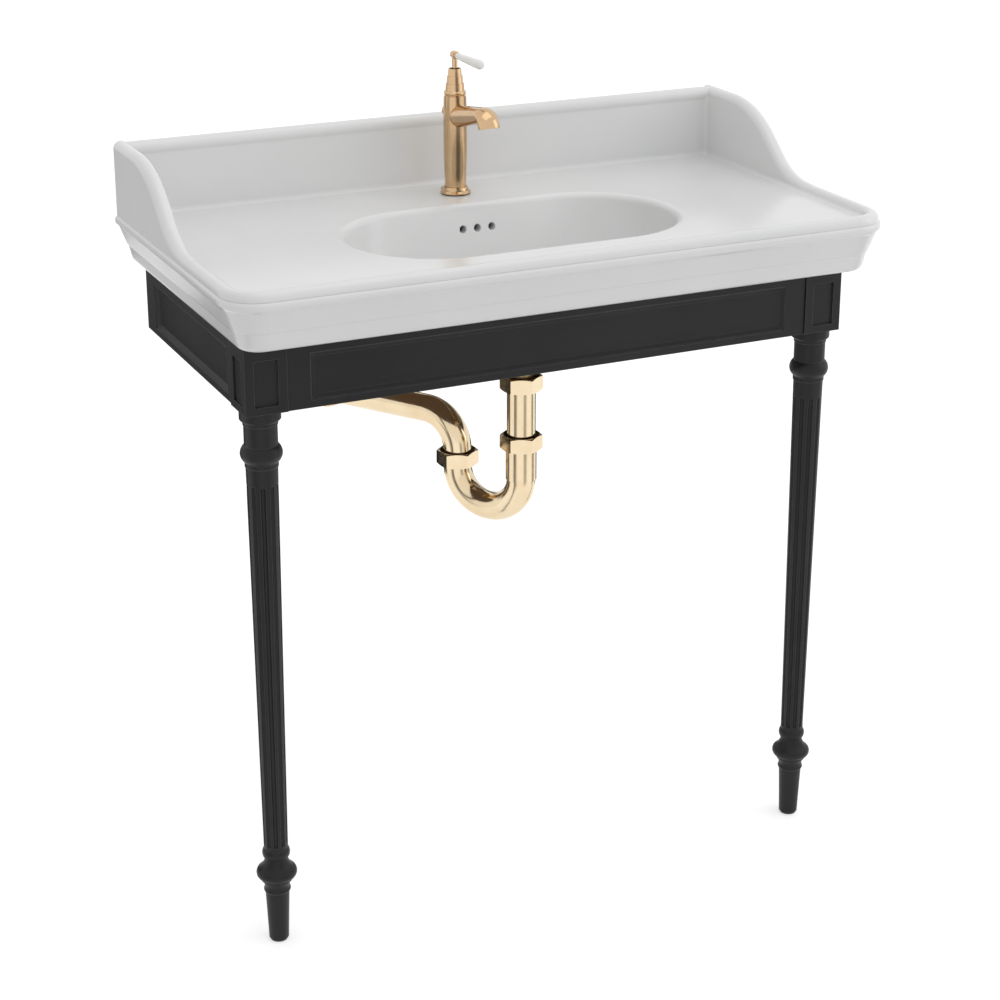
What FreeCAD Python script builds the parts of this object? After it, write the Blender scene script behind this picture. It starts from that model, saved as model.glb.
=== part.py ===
import FreeCAD, Part
import math
import os
import re
import Sketcher

# Console sink: a vitreous china basin with a winged upstand, on an apron frame with two turned,
# fluted front legs. The wall carries its back. A monobloc tap, a pop-up waste and a P-trap complete it.
# +Z is up, +Y points at the wall, and the origin lies on the floor at the middle of the footprint.

Vector = FreeCAD.Vector
document = FreeCAD.newDocument("ConsoleSink")

# Driving dimensions in millimetres and degrees. Each one is a cell of the sheet "Sizes".
sizes = {
    # basin
    "basinWidth": 900, "basinDepth": 466, "cornerRound": 50, "skirtHeight": 75.5, "deckThick": 12,
    "beadRise": 10, "beadWide": 20, "beadRound": 9.4, "lipRise": 11, "lipRound": 4.6,
    "faceIn": 4.5, "stepIn": 14.5, "stepRise": 34, "stepProud": 1.4, "footIn": 22, "footRise": 4,
    "footRound": 11, "skirtIn": 42, "skirtLap": 2, "skirtLift": 5,
    "seatSide": 39, "seatFront": 60, "seatRound": 10, "hollowSide": 54, "hollowFront": 92,
    "hollowTopSide": 36, "hollowTopFront": 50, "rearFlange": 16, "hollowRound": 12,
    "upstandHeight": 97, "backThick": 18, "rollRound": 10, "wingFlat": 128,
    "wingSlopeEnd": 226, "wingRun": 292, "wingFoot": 4, "shoulderRound": 145, "footCurve": 115,
    "grooveIn": 2.8, "coveRound": 6,
    # bowl and overflow
    "bowlSetback": 263, "bowlLength": 448, "bowlWidth": 236, "bowlDepth": 125, "bowlWall": 11,
    "bowlMidLength": 414, "bowlMidWidth": 198, "bowlMidDepth": 70,
    "bowlLowLength": 340, "bowlLowWidth": 160, "bowlLowDepth": 113,
    "bowlFloorLength": 220, "bowlFloorWidth": 118, "bowlLip": 9,
    "overflowDrop": 32, "overflowHole": 10, "overflowPitch": 21, "overflowCount": 3,
    "ductWide": 70, "ductWall": 8, "ductTall": 8, "ductGap": 9, "ductDrop": 16, "ductHead": 10,
    "bossRadius": 33, "tapHole": 34, "rodHole": 10, "wallHole": 14, "wallHoleSpread": 280,
    "wallHoleRise": 38,
    # frame
    "frameWidth": 830, "frameDepth": 400, "legHeight": 730, "apronHeight": 82, "apronThick": 22,
    "apronSetback": 2, "postWide": 54, "railThick": 18, "railDrop": 6,
    "postPanelWide": 30, "postPanelFoot": 10, "postPanelHead": 15, "postPanelDeep": 2.6,
    "panelFoot": 9.5, "panelHead": 13, "panelEnd": 30, "panelRearEnd": 36, "panelFrontEnd": 15,
    "panelStep": 1.2, "panelLedge": 1, "panelSlope": 6, "panelDeep": 4.6,
    "tenonThick": 8, "tenonLong": 20, "tenonShoulder": 11, "tenonClear": 0.15,
    "stripThick": 1.5, "stripWide": 12, "stripInset": 5, "stripEnd": 8,
    "braceNear": 81, "braceFar": 107, "braceTop": 6, "braceTall": 62, "braceScrewInset": 13,
    "braceScrewSeat": 8, "braceScrewLong": 20,
    "bracketLong": 60, "bracketWide": 28, "bracketThick": 3, "bracketRise": 24,
    "bracketHoleIn": 16, "bracketHolePitch": 30, "bracketScrewLong": 17,
    "screwRadius": 2.4, "screwHead": 4.5, "screwHeadTall": 3, "screwHeadClear": 0.3,
    "railHole": 5, "railHoleSpread": 600,
    # legs
    "glideThick": 3, "glideRadius": 11, "glidePin": 3, "glidePinLong": 18,
    "footRadius": 12.8, "ankleRadius": 15.6, "ankleHeight": 72, "ringProud": 0.9, "ringTall": 5,
    "calfRadius": 20, "calfHeight": 88, "calfDip": 1.2, "vaseRadius": 26, "vaseFoot": 91,
    "vaseMiddle": 97.5, "vaseShoulder": 24.6, "vaseHead": 104, "vaseWaist": 18.4, "vaseWaistHeight": 110,
    "throatRadius": 14.6, "throatHeight": 121.5, "throatTall": 2, "beadRadius": 17.9, "beadNeck": 16.2,
    "beadTall": 12, "shaftFoot": 15.5, "shaftHead": 19.8, "collarTall": 6,
    "torusRadius": 26, "torusTall": 22, "neckRadius": 20.7, "neckFoot": 45,
    "capRadius": 25.5, "capTall": 13, "capEdge": 2, "capCove": 6, "capRing": 3.5,
    "fluteCount": 10, "fluteRadius": 3.1, "fluteEnd": 2.9, "fluteSink": 0.5, "fluteStart": 5.5,
    "fluteStop": 22, "studRadius": 4, "studUp": 36, "studDown": 40, "studBore": 0.15,
    # tap
    "tapLedge": 63, "tapFlangeRadius": 20.5, "tapFlangeEdge": 3.4, "tapFlangeStep": 17.8,
    "tapFlangeNeck": 15.9, "tapFlangeTall": 8.4, "tapFlangeClear": 0.2,
    "tapBodyFoot": 14.2, "tapBodyBelly": 15.8, "tapBodyHead": 15, "tapBodyTall": 133.5,
    "tapBellyRise": 88, "tapBore": 12, "tapBoreDeep": 40,
    "shankRadius": 12, "shankLong": 60, "inletRadius": 4, "inletDeep": 18, "inletPitch": 12.8,
    "inletBore": 3, "gasketThick": 1.6, "gasketRadius": 19.5, "washerThick": 2, "washerRadius": 23,
    "tapNutRadius": 20, "tapNutTall": 8,
    "ringBand": 7, "ringBandRadius": 14.8, "ringBandSeat": 13.4, "ringGroove": 1.2, "bonnetTall": 29.5,
    "bonnetFoot": 12.6, "bonnetStep": 1.1, "bonnetTaper": 0.6, "bonnetTiers": 3,
    "bonnetBore": 7.4, "bonnetChamber": 8, "bonnetLip": 3,
    "cartridgeClear": 0.3, "cartridgeRise": 4, "cartridgeGap": 0.5, "journalRadius": 5, "journalDeep": 6,
    "runClear": 0.06, "spindleTall": 11, "spindleRadius": 7, "pivotDrop": 6, "forkRise": 3,
    "forkGap": 0.3, "stemRadius": 3.6, "stemBelow": 5,
    "hubRadius": 5.3, "hubBack": 4.8, "hubFront": 5.6, "hubRound": 1.6,
    "hubRise": 18, "pinRadius": 1.25, "pinInset": 0.3, "spigotRadius": 1.8,
    "ferruleRadius": 3.7, "ferruleStart": 5.8, "ferruleLong": 3.6, "ferruleRing": 4.5, "ferruleRingLong": 1.6,
    "leverLong": 75, "leverRoot": 3.9, "leverTip": 6.3, "leverEnd": 4.6, "spigotDeep": 20,
    "spoutRise": 105, "spoutClimb": 22, "spoutReach": 108, "spoutDrop": 20.5, "spoutBend": 15.5,
    "spoutRootWide": 12, "spoutRootTall": 15.5, "spoutTipWide": 15, "spoutTipTall": 9,
    "spoutBore": 4.5, "mouthTilt": 5.5, "nozzleWide": 12.6, "nozzleTall": 6.8, "nozzleDeep": 4.5,
    "nozzleRim": 2, "spoutSink": 0.5,
    # pop-up waste
    "rodLedge": 93, "rodRadius": 2.4, "rodRise": 108, "rodDrop": 96, "knobRadius": 5.8,
    "knobTall": 12, "knobFoot": 3.6, "knobTop": 3, "guideRadius": 8, "guideThick": 2, "guideEdge": 1,
    "guideBody": 4.8, "guideBelow": 2,
    "strapWide": 12, "strapThick": 2, "strapHole": 4, "strapBelow": 12, "lugRadius": 6, "lugTall": 16,
    "lugBelow": 3, "thumbRadius": 6, "thumbThick": 4, "thumbShank": 2,
    "wasteSetback": 289, "wasteFlangeRadius": 31.5, "wasteFlangeThick": 3, "wasteFlangeEdge": 2,
    "wasteThroat": 15.3, "wasteMouth": 3, "spigotLong": 10, "wasteRadius": 19.5, "wasteWall": 2,
    "wasteLong": 62, "wasteBore": 22.5, "sealThick": 1.5, "sealRadius": 30, "slotWide": 16,
    "backnutTall": 7, "backnutRadius": 29, "cushionTall": 4, "cushionRadius": 28,
    "pivotHeight": 716, "pivotOut": 32, "portRadius": 8.5, "portLong": 15, "portHole": 4.2,
    "ballRadius": 5.2, "ballClear": 0.3, "pivotRadius": 2.1, "pivotTilt": 5.25, "pivotInner": 36,
    "pivotTail": 8, "portNutRadius": 11.5, "portNutLap": 3, "portNutCap": 3, "portNutHole": 3.4,
    "plugRadius": 27.5, "plugThick": 4, "plugLift": 5.8, "plugDome": 3, "plugEdge": 2.4,
    "plugStem": 3.2, "plugGap": 0.4,
    "plugLoop": 7, "plugLoopThick": 4, "plugLoopHole": 3.3, "plugSkirt": 14, "vaneThick": 2,
    # drain and trap
    "tailRadius": 16, "tailWall": 1.2, "tailFoot": 640, "tailInsert": 7.5, "tailCollarTall": 3,
    "trapTurn": 33, "trapRadius": 19, "trapWall": 1.2, "socketRadius": 20.4, "socketLap": 4,
    "trapClear": 0.2, "bendRadius": 49, "trapSpread": 100, "bendHeight": 548,
    "nutRadius": 28.4, "nutTall": 20, "nutTurn": 25, "nutChamfer": 2.4, "nutRecess": 23.6,
    "inletNutHeight": 672, "bendNutHeight": 590, "outletNutHeight": 549, "nutSeat": 9,
    "armHeight": 619, "armBend": 50, "armLast": 46, "armTurnRadius": 60, "armLap": 10,
    "wallFlangeRadius": 38, "wallFlangeTall": 9, "wallFlangeRim": 2.5, "wallFlangeNeck": 23, "sealTall": 5,
}

# Heights and places worked out from the sizes. They are spelled out wherever a formula uses them.
derived = {
    "wallY": "(basinDepth / 2)",
    "frameFront": "(wallY - frameDepth)",
    "apronTop": "(legHeight + apronHeight)",
    "apronFace": "(frameFront + apronSetback)",
    "apronBack": "(apronFace + apronThick)",
    "apronSide": "(halfFrame - apronSetback - apronThick)",
    "postBack": "(frameFront + postWide)",
    "postInner": "(halfFrame - postWide)",
    "railFace": "(wallY - railThick)",
    "braceFoot": "(apronTop - braceTop - braceTall)",
    "braceMiddle": "(apronTop - braceTop - braceTall / 2)",
    "bracketMiddle": "(legHeight + bracketRise + bracketWide / 2)",
    "seatTop": "(apronTop + stripThick)",
    "deckTop": "(seatTop + skirtHeight)",
    "deckUnder": "(deckTop - deckThick)",
    "rimTop": "(deckTop + beadRise)",
    "crestTop": "(deckTop + upstandHeight)",
    "rollHeight": "(crestTop - rollRound)",
    "halfWidth": "(basinWidth / 2)",
    "halfFrame": "(frameWidth / 2)",
    "bowlY": "(wallY - bowlSetback)",
    "bowlBack": "(bowlY + bowlWidth / 2)",
    "bowlFloor": "(deckTop - bowlDepth)",
    "bowlUnder": "(bowlFloor - bowlWall)",
    "bossFoot": "(bowlUnder - ductTall - ductWall)",
    "wasteY": "(wallY - wasteSetback)",
    "tapY": "(bowlBack + tapLedge)",
    "rodY": "(bowlBack + rodLedge)",
    "legX": "(halfFrame - postWide / 2)",
    "legY": "(frameFront + postWide / 2)",
    "shaftStart": "(throatHeight + beadTall)",
    "torusTop": "(legHeight - neckFoot)",
    "torusFoot": "(torusTop - torusTall)",
    "shaftStop": "(torusFoot - collarTall)",
    "capFoot": "(legHeight - capTall)",
    "tapFoot": "(deckTop + gasketThick)",
    "tapTop": "(deckTop + tapBodyTall)",
    "bodyStart": "(tapFoot + tapFlangeTall + tapFlangeClear)",
    "bonnetSeat": "(tapTop + ringBand)",
    "bonnetTop": "(bonnetSeat + bonnetTall)",
    "cartridgeTop": "(tapTop + cartridgeRise)",
    "spindleFoot": "(cartridgeTop + forkGap)",
    "pivotZ": "(bonnetTop - pivotDrop)",
    "hubZ": "(bonnetTop + hubRise)",
    "leverStart": "(ferruleStart + ferruleLong)",
    "spoutRoot": "(deckTop + spoutRise)",
    "spoutOutlet": "(spoutRoot + spoutClimb - spoutDrop)",
    "nozzleFoot": "(spoutOutlet + mouthTilt + spoutSink)",
    "rodFoot": "(deckTop - rodDrop)",
    "rodTop": "(deckTop + rodRise)",
    "lugFoot": "(rodFoot - lugBelow)",
    "wasteInner": "(wasteRadius - wasteWall)",
    "flangeFoot": "(bowlFloor + sealThick)",
    "flangeTop": "(flangeFoot + wasteFlangeThick)",
    "wasteFoot": "(flangeFoot - wasteLong)",
    "portEnd": "(wasteRadius + portLong)",
    "pivotY": "(wasteY + pivotOut)",
    "pivotReach": "((rodY - pivotY) / cos(pivotTilt))",
    "strapZ": "(pivotHeight - (rodY - pivotY) * tan(pivotTilt))",
    "loopZ": "(pivotHeight + pivotOut * tan(pivotTilt))",
    "plugFoot": "(flangeTop + plugGap + plugLift)",
    "trapInner": "(trapRadius - trapWall)",
    "tailInner": "(tailRadius - tailWall)",
    "bendEnd": "(bendHeight + socketLap)",
    "armCorner": "((wallY - armLast - wasteY) / cos(trapTurn))",
    "armSplit": "(armCorner - armTurnRadius * tan(trapTurn / 2) - armLap)",
}

sheet = document.addObject("Spreadsheet::Sheet", "Sizes")
for row, (name, size) in enumerate(sizes.items(), start=1):
    sheet.set(f"A{row}", name)
    sheet.set(f"B{row}", str(size))
    sheet.setAlias(f"B{row}", name)
document.recompute()

nodes = []        # objects that become files, in the order they are made


def spell(formula):
    """Give a formula in the words above as an expression on the sheet."""
    def word(match):
        name = match.group(0)
        if name in derived:
            return re.sub(r"[A-Za-z]\w*", word, derived[name])
        return f"Sizes.{name}" if name in sizes else name
    return re.sub(r"[A-Za-z]\w*", word, str(formula))


def number(formula):
    value = sheet.evalExpression(spell(formula))
    return float(getattr(value, "Value", value))


def bind(thing, field, formula):
    thing.setExpression(field, spell(formula))


def keep(thing, label):
    thing.Label = label
    nodes.append(thing)
    return thing


def place(thing, x="0", y="0", z="0", axis=None, angle=None):
    """Set where an object stands, with an optional turn about an axis."""
    if axis is not None:
        thing.Placement = FreeCAD.Placement(Vector(), FreeCAD.Rotation(axis, number(angle)))
        bind(thing, "Placement.Rotation.Angle", angle)
    bind(thing, "Placement.Base.x", x)
    bind(thing, "Placement.Base.y", y)
    bind(thing, "Placement.Base.z", z)
    return thing


# Sketches ------------------------------------------------------------------------------------

def newBody(label, isNode=True):
    body = document.addObject("PartDesign::Body", label)
    if isNode:
        keep(body, label)
    return body


def newSketch(body, plane, offset="0"):
    """A sketch on one of the body's own origin planes, moved along that plane's normal."""
    sketch = body.newObject("Sketcher::SketchObject", "sketch")
    support = next(face for face in body.Origin.OriginFeatures if face.Role == plane)
    sketch.AttachmentSupport = [(support, "")]
    sketch.MapMode = "FlatFace"
    bind(sketch, "AttachmentOffset.Base.z", offset)
    return sketch


def fixPoint(sketch, geometry, end, corner):
    for kind, formula in zip(("DistanceX", "DistanceY"), corner):
        index = sketch.addConstraint(Sketcher.Constraint(kind, geometry, end, number(formula)))
        bind(sketch, f"Constraints[{index}]", formula)


def drawCorners(sketch, corners, closed=True):
    """Lines from corner to corner. A corner is (x, y) or (x, y, radius), each a formula.

    A rounded corner keeps its sharp point as construction, and its arc is tangent to both lines.
    An entry ("via", x, y) between two plain corners bends the line there through that point.
    """
    bends = {}
    plain = []
    for entry in corners:
        if entry[0] == "via":
            bends[len(plain) - 1] = entry[1:]
        else:
            plain.append(entry)
    spots = [Vector(number(c[0]), number(c[1]), 0) for c in plain]
    count = len(plain)
    starts, ends = [], []
    for i, corner in enumerate(plain):
        before, after = spots[i], spots[i]
        if len(corner) > 2:
            toBefore = (spots[i - 1] - spots[i]).normalize()
            toAfter = (spots[(i + 1) % count] - spots[i]).normalize()
            reach = number(corner[2]) / math.tan(toBefore.getAngle(toAfter) / 2)
            before, after = spots[i] + toBefore * reach, spots[i] + toAfter * reach
        ends.append(before)
        starts.append(after)
    last = count if closed else count - 1
    lines = []
    for i in range(last):
        first, second = starts[i], ends[(i + 1) % count]
        lines.append(drawBend(sketch, first, second, bends[i]) if i in bends
                     else (sketch.addGeometry(Part.LineSegment(first, second)), 1, 2))
    for i, corner in enumerate(plain):
        before = lines[i - 1] if closed or i > 0 else None
        after = lines[i] if i < len(lines) else None
        if len(corner) > 2:
            drawRound(sketch, corner, spots[i], ends[i], starts[i], before[0], after[0])
            continue
        if before is not None and after is not None:
            sketch.addConstraint(Sketcher.Constraint("Coincident", before[0], before[2], after[0], after[1]))
        fixPoint(sketch, *((after[0], after[1]) if after is not None else (before[0], before[2])), corner)


def drawBend(sketch, first, second, through):
    """An arc from first to second through a point. Returns it with its start and end numbers."""
    middle = Vector(number(through[0]), number(through[1]), 0)
    circle = circleThrough(first, middle, second)
    turn = (middle - first).cross(second - middle).z
    start, stop = (first, second) if turn > 0 else (second, first)
    angles = [math.atan2((p - circle.Center).y, (p - circle.Center).x) for p in (start, stop)]
    if angles[1] < angles[0]:
        angles[1] += 2 * math.pi
    arc = sketch.addGeometry(Part.ArcOfCircle(circle, *angles))
    point = sketch.addGeometry(Part.Point(middle), True)
    fixPoint(sketch, point, 1, through)
    sketch.addConstraint(Sketcher.Constraint("PointOnObject", point, 1, arc))
    return (arc, 1, 2) if turn > 0 else (arc, 2, 1)


def circleThrough(a, b, c):
    ab, ac = b - a, c - a
    twice = 2 * (ab.x * ac.y - ab.y * ac.x)
    x = (ac.y * ab.dot(ab) - ab.y * ac.dot(ac)) / twice
    y = (ab.x * ac.dot(ac) - ac.x * ab.dot(ab)) / twice
    return Part.Circle(a + Vector(x, y, 0), Vector(0, 0, 1), math.hypot(x, y))


def drawRound(sketch, corner, sharp, first, second, before, after):
    radius = number(corner[2])
    middle = (first + second) * 0.5
    inward = (middle - sharp).normalize()
    centre = sharp + inward * math.hypot((first - sharp).Length, radius)
    turn = (first - centre).cross(second - centre).z
    start, stop = (first, second) if turn > 0 else (second, first)
    angles = [math.atan2((p - centre).y, (p - centre).x) for p in (start, stop)]
    if angles[1] < angles[0]:
        angles[1] += 2 * math.pi
    arc = sketch.addGeometry(Part.ArcOfCircle(Part.Circle(centre, Vector(0, 0, 1), radius), *angles))
    firstEnd, secondEnd = (1, 2) if turn > 0 else (2, 1)
    sketch.addConstraint(Sketcher.Constraint("Tangent", before, 2, arc, firstEnd))
    sketch.addConstraint(Sketcher.Constraint("Tangent", arc, secondEnd, after, 1))
    index = sketch.addConstraint(Sketcher.Constraint("Radius", arc, radius))
    bind(sketch, f"Constraints[{index}]", corner[2])
    point = sketch.addGeometry(Part.Point(sharp), True)
    fixPoint(sketch, point, 1, corner)
    sketch.addConstraint(Sketcher.Constraint("PointOnObject", point, 1, before))
    sketch.addConstraint(Sketcher.Constraint("PointOnObject", point, 1, after))


def drawCircle(sketch, x, y, radius):
    circle = sketch.addGeometry(Part.Circle(Vector(number(x), number(y), 0), Vector(0, 0, 1), number(radius)))
    fixPoint(sketch, circle, 3, (x, y))
    index = sketch.addConstraint(Sketcher.Constraint("Radius", circle, number(radius)))
    bind(sketch, f"Constraints[{index}]", radius)


def drawBox(sketch, left, right, bottom, top, radius=None):
    corners = [(left, bottom), (right, bottom), (right, top), (left, top)]
    drawCorners(sketch, [corner + (radius,) if radius else corner for corner in corners])


def drawOval(sketch, x, y, length, width):
    """An oblong with half-round ends, long in X."""
    radius = number(width) / 2
    reach = (number(length) - number(width)) / 2
    cx, cy = number(x), number(y)
    quarter = math.pi / 2
    up = Vector(0, 0, 1)
    right = Part.Circle(Vector(cx + reach, cy, 0), up, radius)
    left = Part.Circle(Vector(cx - reach, cy, 0), up, radius)
    rightArc = sketch.addGeometry(Part.ArcOfCircle(right, -quarter, quarter))
    top = sketch.addGeometry(
        Part.LineSegment(Vector(cx + reach, cy + radius, 0), Vector(cx - reach, cy + radius, 0)))
    leftArc = sketch.addGeometry(Part.ArcOfCircle(left, quarter, 3 * quarter))
    bottom = sketch.addGeometry(
        Part.LineSegment(Vector(cx - reach, cy - radius, 0), Vector(cx + reach, cy - radius, 0)))
    for first, firstEnd, second, secondEnd in ((rightArc, 2, top, 1), (top, 2, leftArc, 1),
                                               (leftArc, 2, bottom, 1), (bottom, 2, rightArc, 1)):
        sketch.addConstraint(Sketcher.Constraint("Tangent", first, firstEnd, second, secondEnd))
    fixPoint(sketch, rightArc, 3, (f"{x} + ({length} - {width}) / 2", y))
    fixPoint(sketch, leftArc, 3, (f"{x} - ({length} - {width}) / 2", y))
    index = sketch.addConstraint(Sketcher.Constraint("Radius", rightArc, radius))
    bind(sketch, f"Constraints[{index}]", f"{width} / 2")


def drawEllipse(sketch, x, y, halfWide, halfTall):
    """A full ellipse with its long or short axis along the sketch's X."""
    cx, cy, wide, tall = (number(f) for f in (x, y, halfWide, halfTall))
    wider = wide >= tall
    major = Vector(cx + wide, cy, 0) if wider else Vector(cx, cy + tall, 0)
    minor = Vector(cx, cy + tall, 0) if wider else Vector(cx - wide, cy, 0)
    ellipse = sketch.addGeometry(Part.Ellipse(major, minor, Vector(cx, cy, 0)))
    sketch.exposeInternalGeometry(ellipse)
    fixPoint(sketch, ellipse, 3, (x, y))
    lines = [i for i, g in enumerate(sketch.Geometry) if i > ellipse and isinstance(g, Part.LineSegment)]
    long = "Horizontal" if wider else "Vertical"
    sketch.addConstraint(Sketcher.Constraint(long, lines[0]))
    for line, half in zip(lines, (halfWide, halfTall) if wider else (halfTall, halfWide)):
        index = sketch.addConstraint(Sketcher.Constraint("Distance", line, 2 * number(half)))
        bind(sketch, f"Constraints[{index}]", f"2 * {half}")


# Features ------------------------------------------------------------------------------------

def addPad(body, sketch, length, midplane=False, backwards=False, cut=False):
    feature = body.newObject("PartDesign::Pocket" if cut else "PartDesign::Pad", "extrude")
    feature.Profile = sketch
    bind(feature, "Length", length)
    if midplane:
        feature.SideType = "Symmetric"
    feature.Reversed = backwards
    return feature


def addCut(body, sketch, length, midplane=False, backwards=False):
    """A pocket that must take something away."""
    before = volumeOf(body)
    feature = addPad(body, sketch, length, midplane, backwards, cut=True)
    document.recompute()
    if volumeOf(body) >= before:
        raise ValueError(f"{body.Label}: a pocket cuts nothing")
    return feature


def addTurn(body, sketch, cut=False):
    feature = body.newObject("PartDesign::Groove" if cut else "PartDesign::Revolution", "turn")
    feature.Profile = sketch
    feature.ReferenceAxis = (sketch, ["V_Axis"])
    feature.Angle = 360
    return feature


def addPipe(body, profile, spine, cut=False, endProfile=None):
    feature = body.newObject("PartDesign::SubtractivePipe" if cut else "PartDesign::AdditivePipe", "pipe")
    feature.Profile = profile
    feature.Spine = spine
    if endProfile is not None:
        feature.Transformation = "Multisection"
        feature.Sections = [endProfile]
    return feature


def addLoft(body, profiles, cut=False, ruled=False):
    feature = body.newObject("PartDesign::SubtractiveLoft" if cut else "PartDesign::AdditiveLoft", "loft")
    feature.Profile = profiles[0]
    feature.Sections = profiles[1:]
    feature.Ruled = ruled
    return feature


def volumeOf(body):
    document.recompute()
    return body.Shape.Volume if not body.Shape.isNull() else 0.0


def roundEdges(body, radius, wanted):
    """Fillet the edges of the body's tip for which wanted(edge) is true."""
    document.recompute()
    base = body.Tip
    names = [f"Edge{i}" for i, edge in enumerate(base.Shape.Edges, start=1) if wanted(edge)]
    if not names:
        raise ValueError(f"{body.Label}: no edge to round")
    feature = body.newObject("PartDesign::Fillet", "round")
    feature.Base = (base, names)
    bind(feature, "Radius", radius)
    return feature


def turned(label, corners, isNode=True, plane="XZ_Plane"):
    """A piece made on a lathe about its own Z, from (radius, height) corners."""
    body = newBody(label, isNode)
    sketch = newSketch(body, plane)
    drawCorners(sketch, corners)
    addTurn(body, sketch)
    return body


def tube(label, outer, inner, foot, head, isNode=True):
    return turned(label, [(inner, foot), (outer, foot), (outer, head), (inner, head)], isNode)


def rod(label, radius, foot, head, isNode=True):
    return turned(label, [("0", foot), (radius, foot), (radius, head), ("0", head)], isNode)


def group(label, members):
    joined = document.addObject("Part::Compound", label)
    joined.Links = members
    return keep(joined, label)


def drillHole(body, plane, offset, x, y, radius, depth, midplane=False, backwards=False):
    sketch = newSketch(body, plane, offset)
    drawCircle(sketch, x, y, radius)
    return addCut(body, sketch, depth, midplane, backwards)


def slab(label, left, right, front, back, foot, head, isNode=True):
    """A board: a rectangle in plan, raised from foot to head."""
    body = newBody(label, isNode)
    sketch = newSketch(body, "XY_Plane", foot)
    drawBox(sketch, left, right, front, back)
    addPad(body, sketch, f"({head}) - ({foot})")
    return body


def hexagon(label, radius, bore, foot, tall):
    """A six-sided nut about its own Z, with its corners turned off at both ends."""
    body = newBody(label)
    sketch = newSketch(body, "XY_Plane", foot)
    drawCorners(sketch, [(f"{radius} * cos({60 * k})", f"{radius} * sin({60 * k})") for k in range(6)])
    addPad(body, sketch, tall)
    ring = f"{radius} * cos(30)"
    for end, step in ((foot, 1), (f"{foot} + {tall}", -1)):
        corner = newSketch(body, "XZ_Plane")
        drawCorners(corner, [(ring, end), (f"{radius} + nutChamfer", end),
                             (f"{radius} + nutChamfer", f"{end} + {step} * nutChamfer")])
        addTurn(body, corner, cut=True)
    drillHole(body, "XY_Plane", f"{foot} + {tall}", "0", "0", bore, tall)
    return body


def repeatAround(body, feature, count):
    """Repeat a feature evenly about the body's own Z axis."""
    pattern = body.newObject("PartDesign::PolarPattern", "pattern")
    pattern.Originals = [feature]
    axis = next(line for line in body.Origin.OriginFeatures if line.Role == "Z_Axis")
    pattern.Axis = (axis, [""])
    pattern.Angle = 360
    bind(pattern, "Occurrences", count)
    body.Tip = pattern
    return pattern


# Basin ---------------------------------------------------------------------------------------

def rimProfile(body):
    """The moulding all round the basin: foot, face, lip and bead, as inset and height."""
    def at(inset, height, *radius):
        return (f"-halfWidth + {inset}", height) + radius
    sketch = newSketch(body, "XZ_Plane", "-wallY")
    stepTop = "seatTop + stepRise"
    drawCorners(sketch, [
        at("skirtIn", "seatTop + skirtLift"),
        at("footIn", "seatTop + skirtLift + footRise", "footRound"),
        at("stepIn + stepProud", f"{stepTop} - stepProud"),
        at("stepIn", stepTop),
        at("faceIn", "deckTop - lipRise - lipRound"),
        at("0", "deckTop - lipRise", "lipRound / 2"),
        at("0", "deckTop - stepProud", "lipRound"),
        at("grooveIn", "deckTop - stepProud"),
        at("grooveIn", "rimTop", "beadRound"),
        at("grooveIn + beadWide", "rimTop", "beadRound"),
        at("grooveIn + beadWide", "deckTop"),
        at("skirtIn", "deckTop"),
    ])
    return sketch


def rimPath(body):
    sketch = newSketch(body, "XY_Plane", "deckTop")
    drawCorners(sketch, [("-halfWidth", "wallY"), ("-halfWidth", "-wallY", "cornerRound"),
                         ("halfWidth", "-wallY", "cornerRound"), ("halfWidth", "wallY")], closed=False)
    return sketch


def insetBox(body, height, side, front, rear, radius):
    """A rectangle inside the outline, with its two front corners rounded."""
    sketch = newSketch(body, "XY_Plane", height)
    left, right = f"-halfWidth + ({side})", f"halfWidth - ({side})"
    near, far = f"-wallY + ({front})", f"wallY - ({rear})"
    drawCorners(sketch, [(left, far), (left, near, radius), (right, near, radius), (right, far)])
    return sketch


def addShell(body):
    """The moulded rim, the deck inside it, the seat on the frame and the hollow underneath."""
    addPipe(body, rimProfile(body), rimPath(body))
    lap = "skirtIn - skirtLap"
    addPad(body, insetBox(body, "seatTop + skirtLift", lap, lap, "0", f"cornerRound - ({lap})"),
           "skirtHeight - skirtLift")
    addPad(body, insetBox(body, "seatTop", "seatSide", "seatFront", "0", "seatRound"), "skirtLift * 2")
    hollow = [insetBox(body, "seatTop", "hollowSide", "hollowFront", "rearFlange", "hollowRound"),
              insetBox(body, "deckUnder", "hollowTopSide", "hollowTopFront", "rearFlange", "hollowRound")]
    addLoft(body, hollow, cut=True)


def wingCurve(sketch, drop, closed):
    """The S-shaped crest of a wing, from the wall forward and down to the rim."""
    crest = [("wallY", f"crestTop - {drop}"),
             ("wallY - wingFlat", f"crestTop - {drop}", "shoulderRound"),
             ("wallY - wingSlopeEnd", f"rimTop - {drop} + wingFoot", "footCurve"),
             ("wallY - wingRun", f"rimTop - {drop}")]
    if closed:
        crest += [("wallY - wingRun", "deckUnder"), ("wallY", "deckUnder")]
    drawCorners(sketch, crest, closed)


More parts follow.
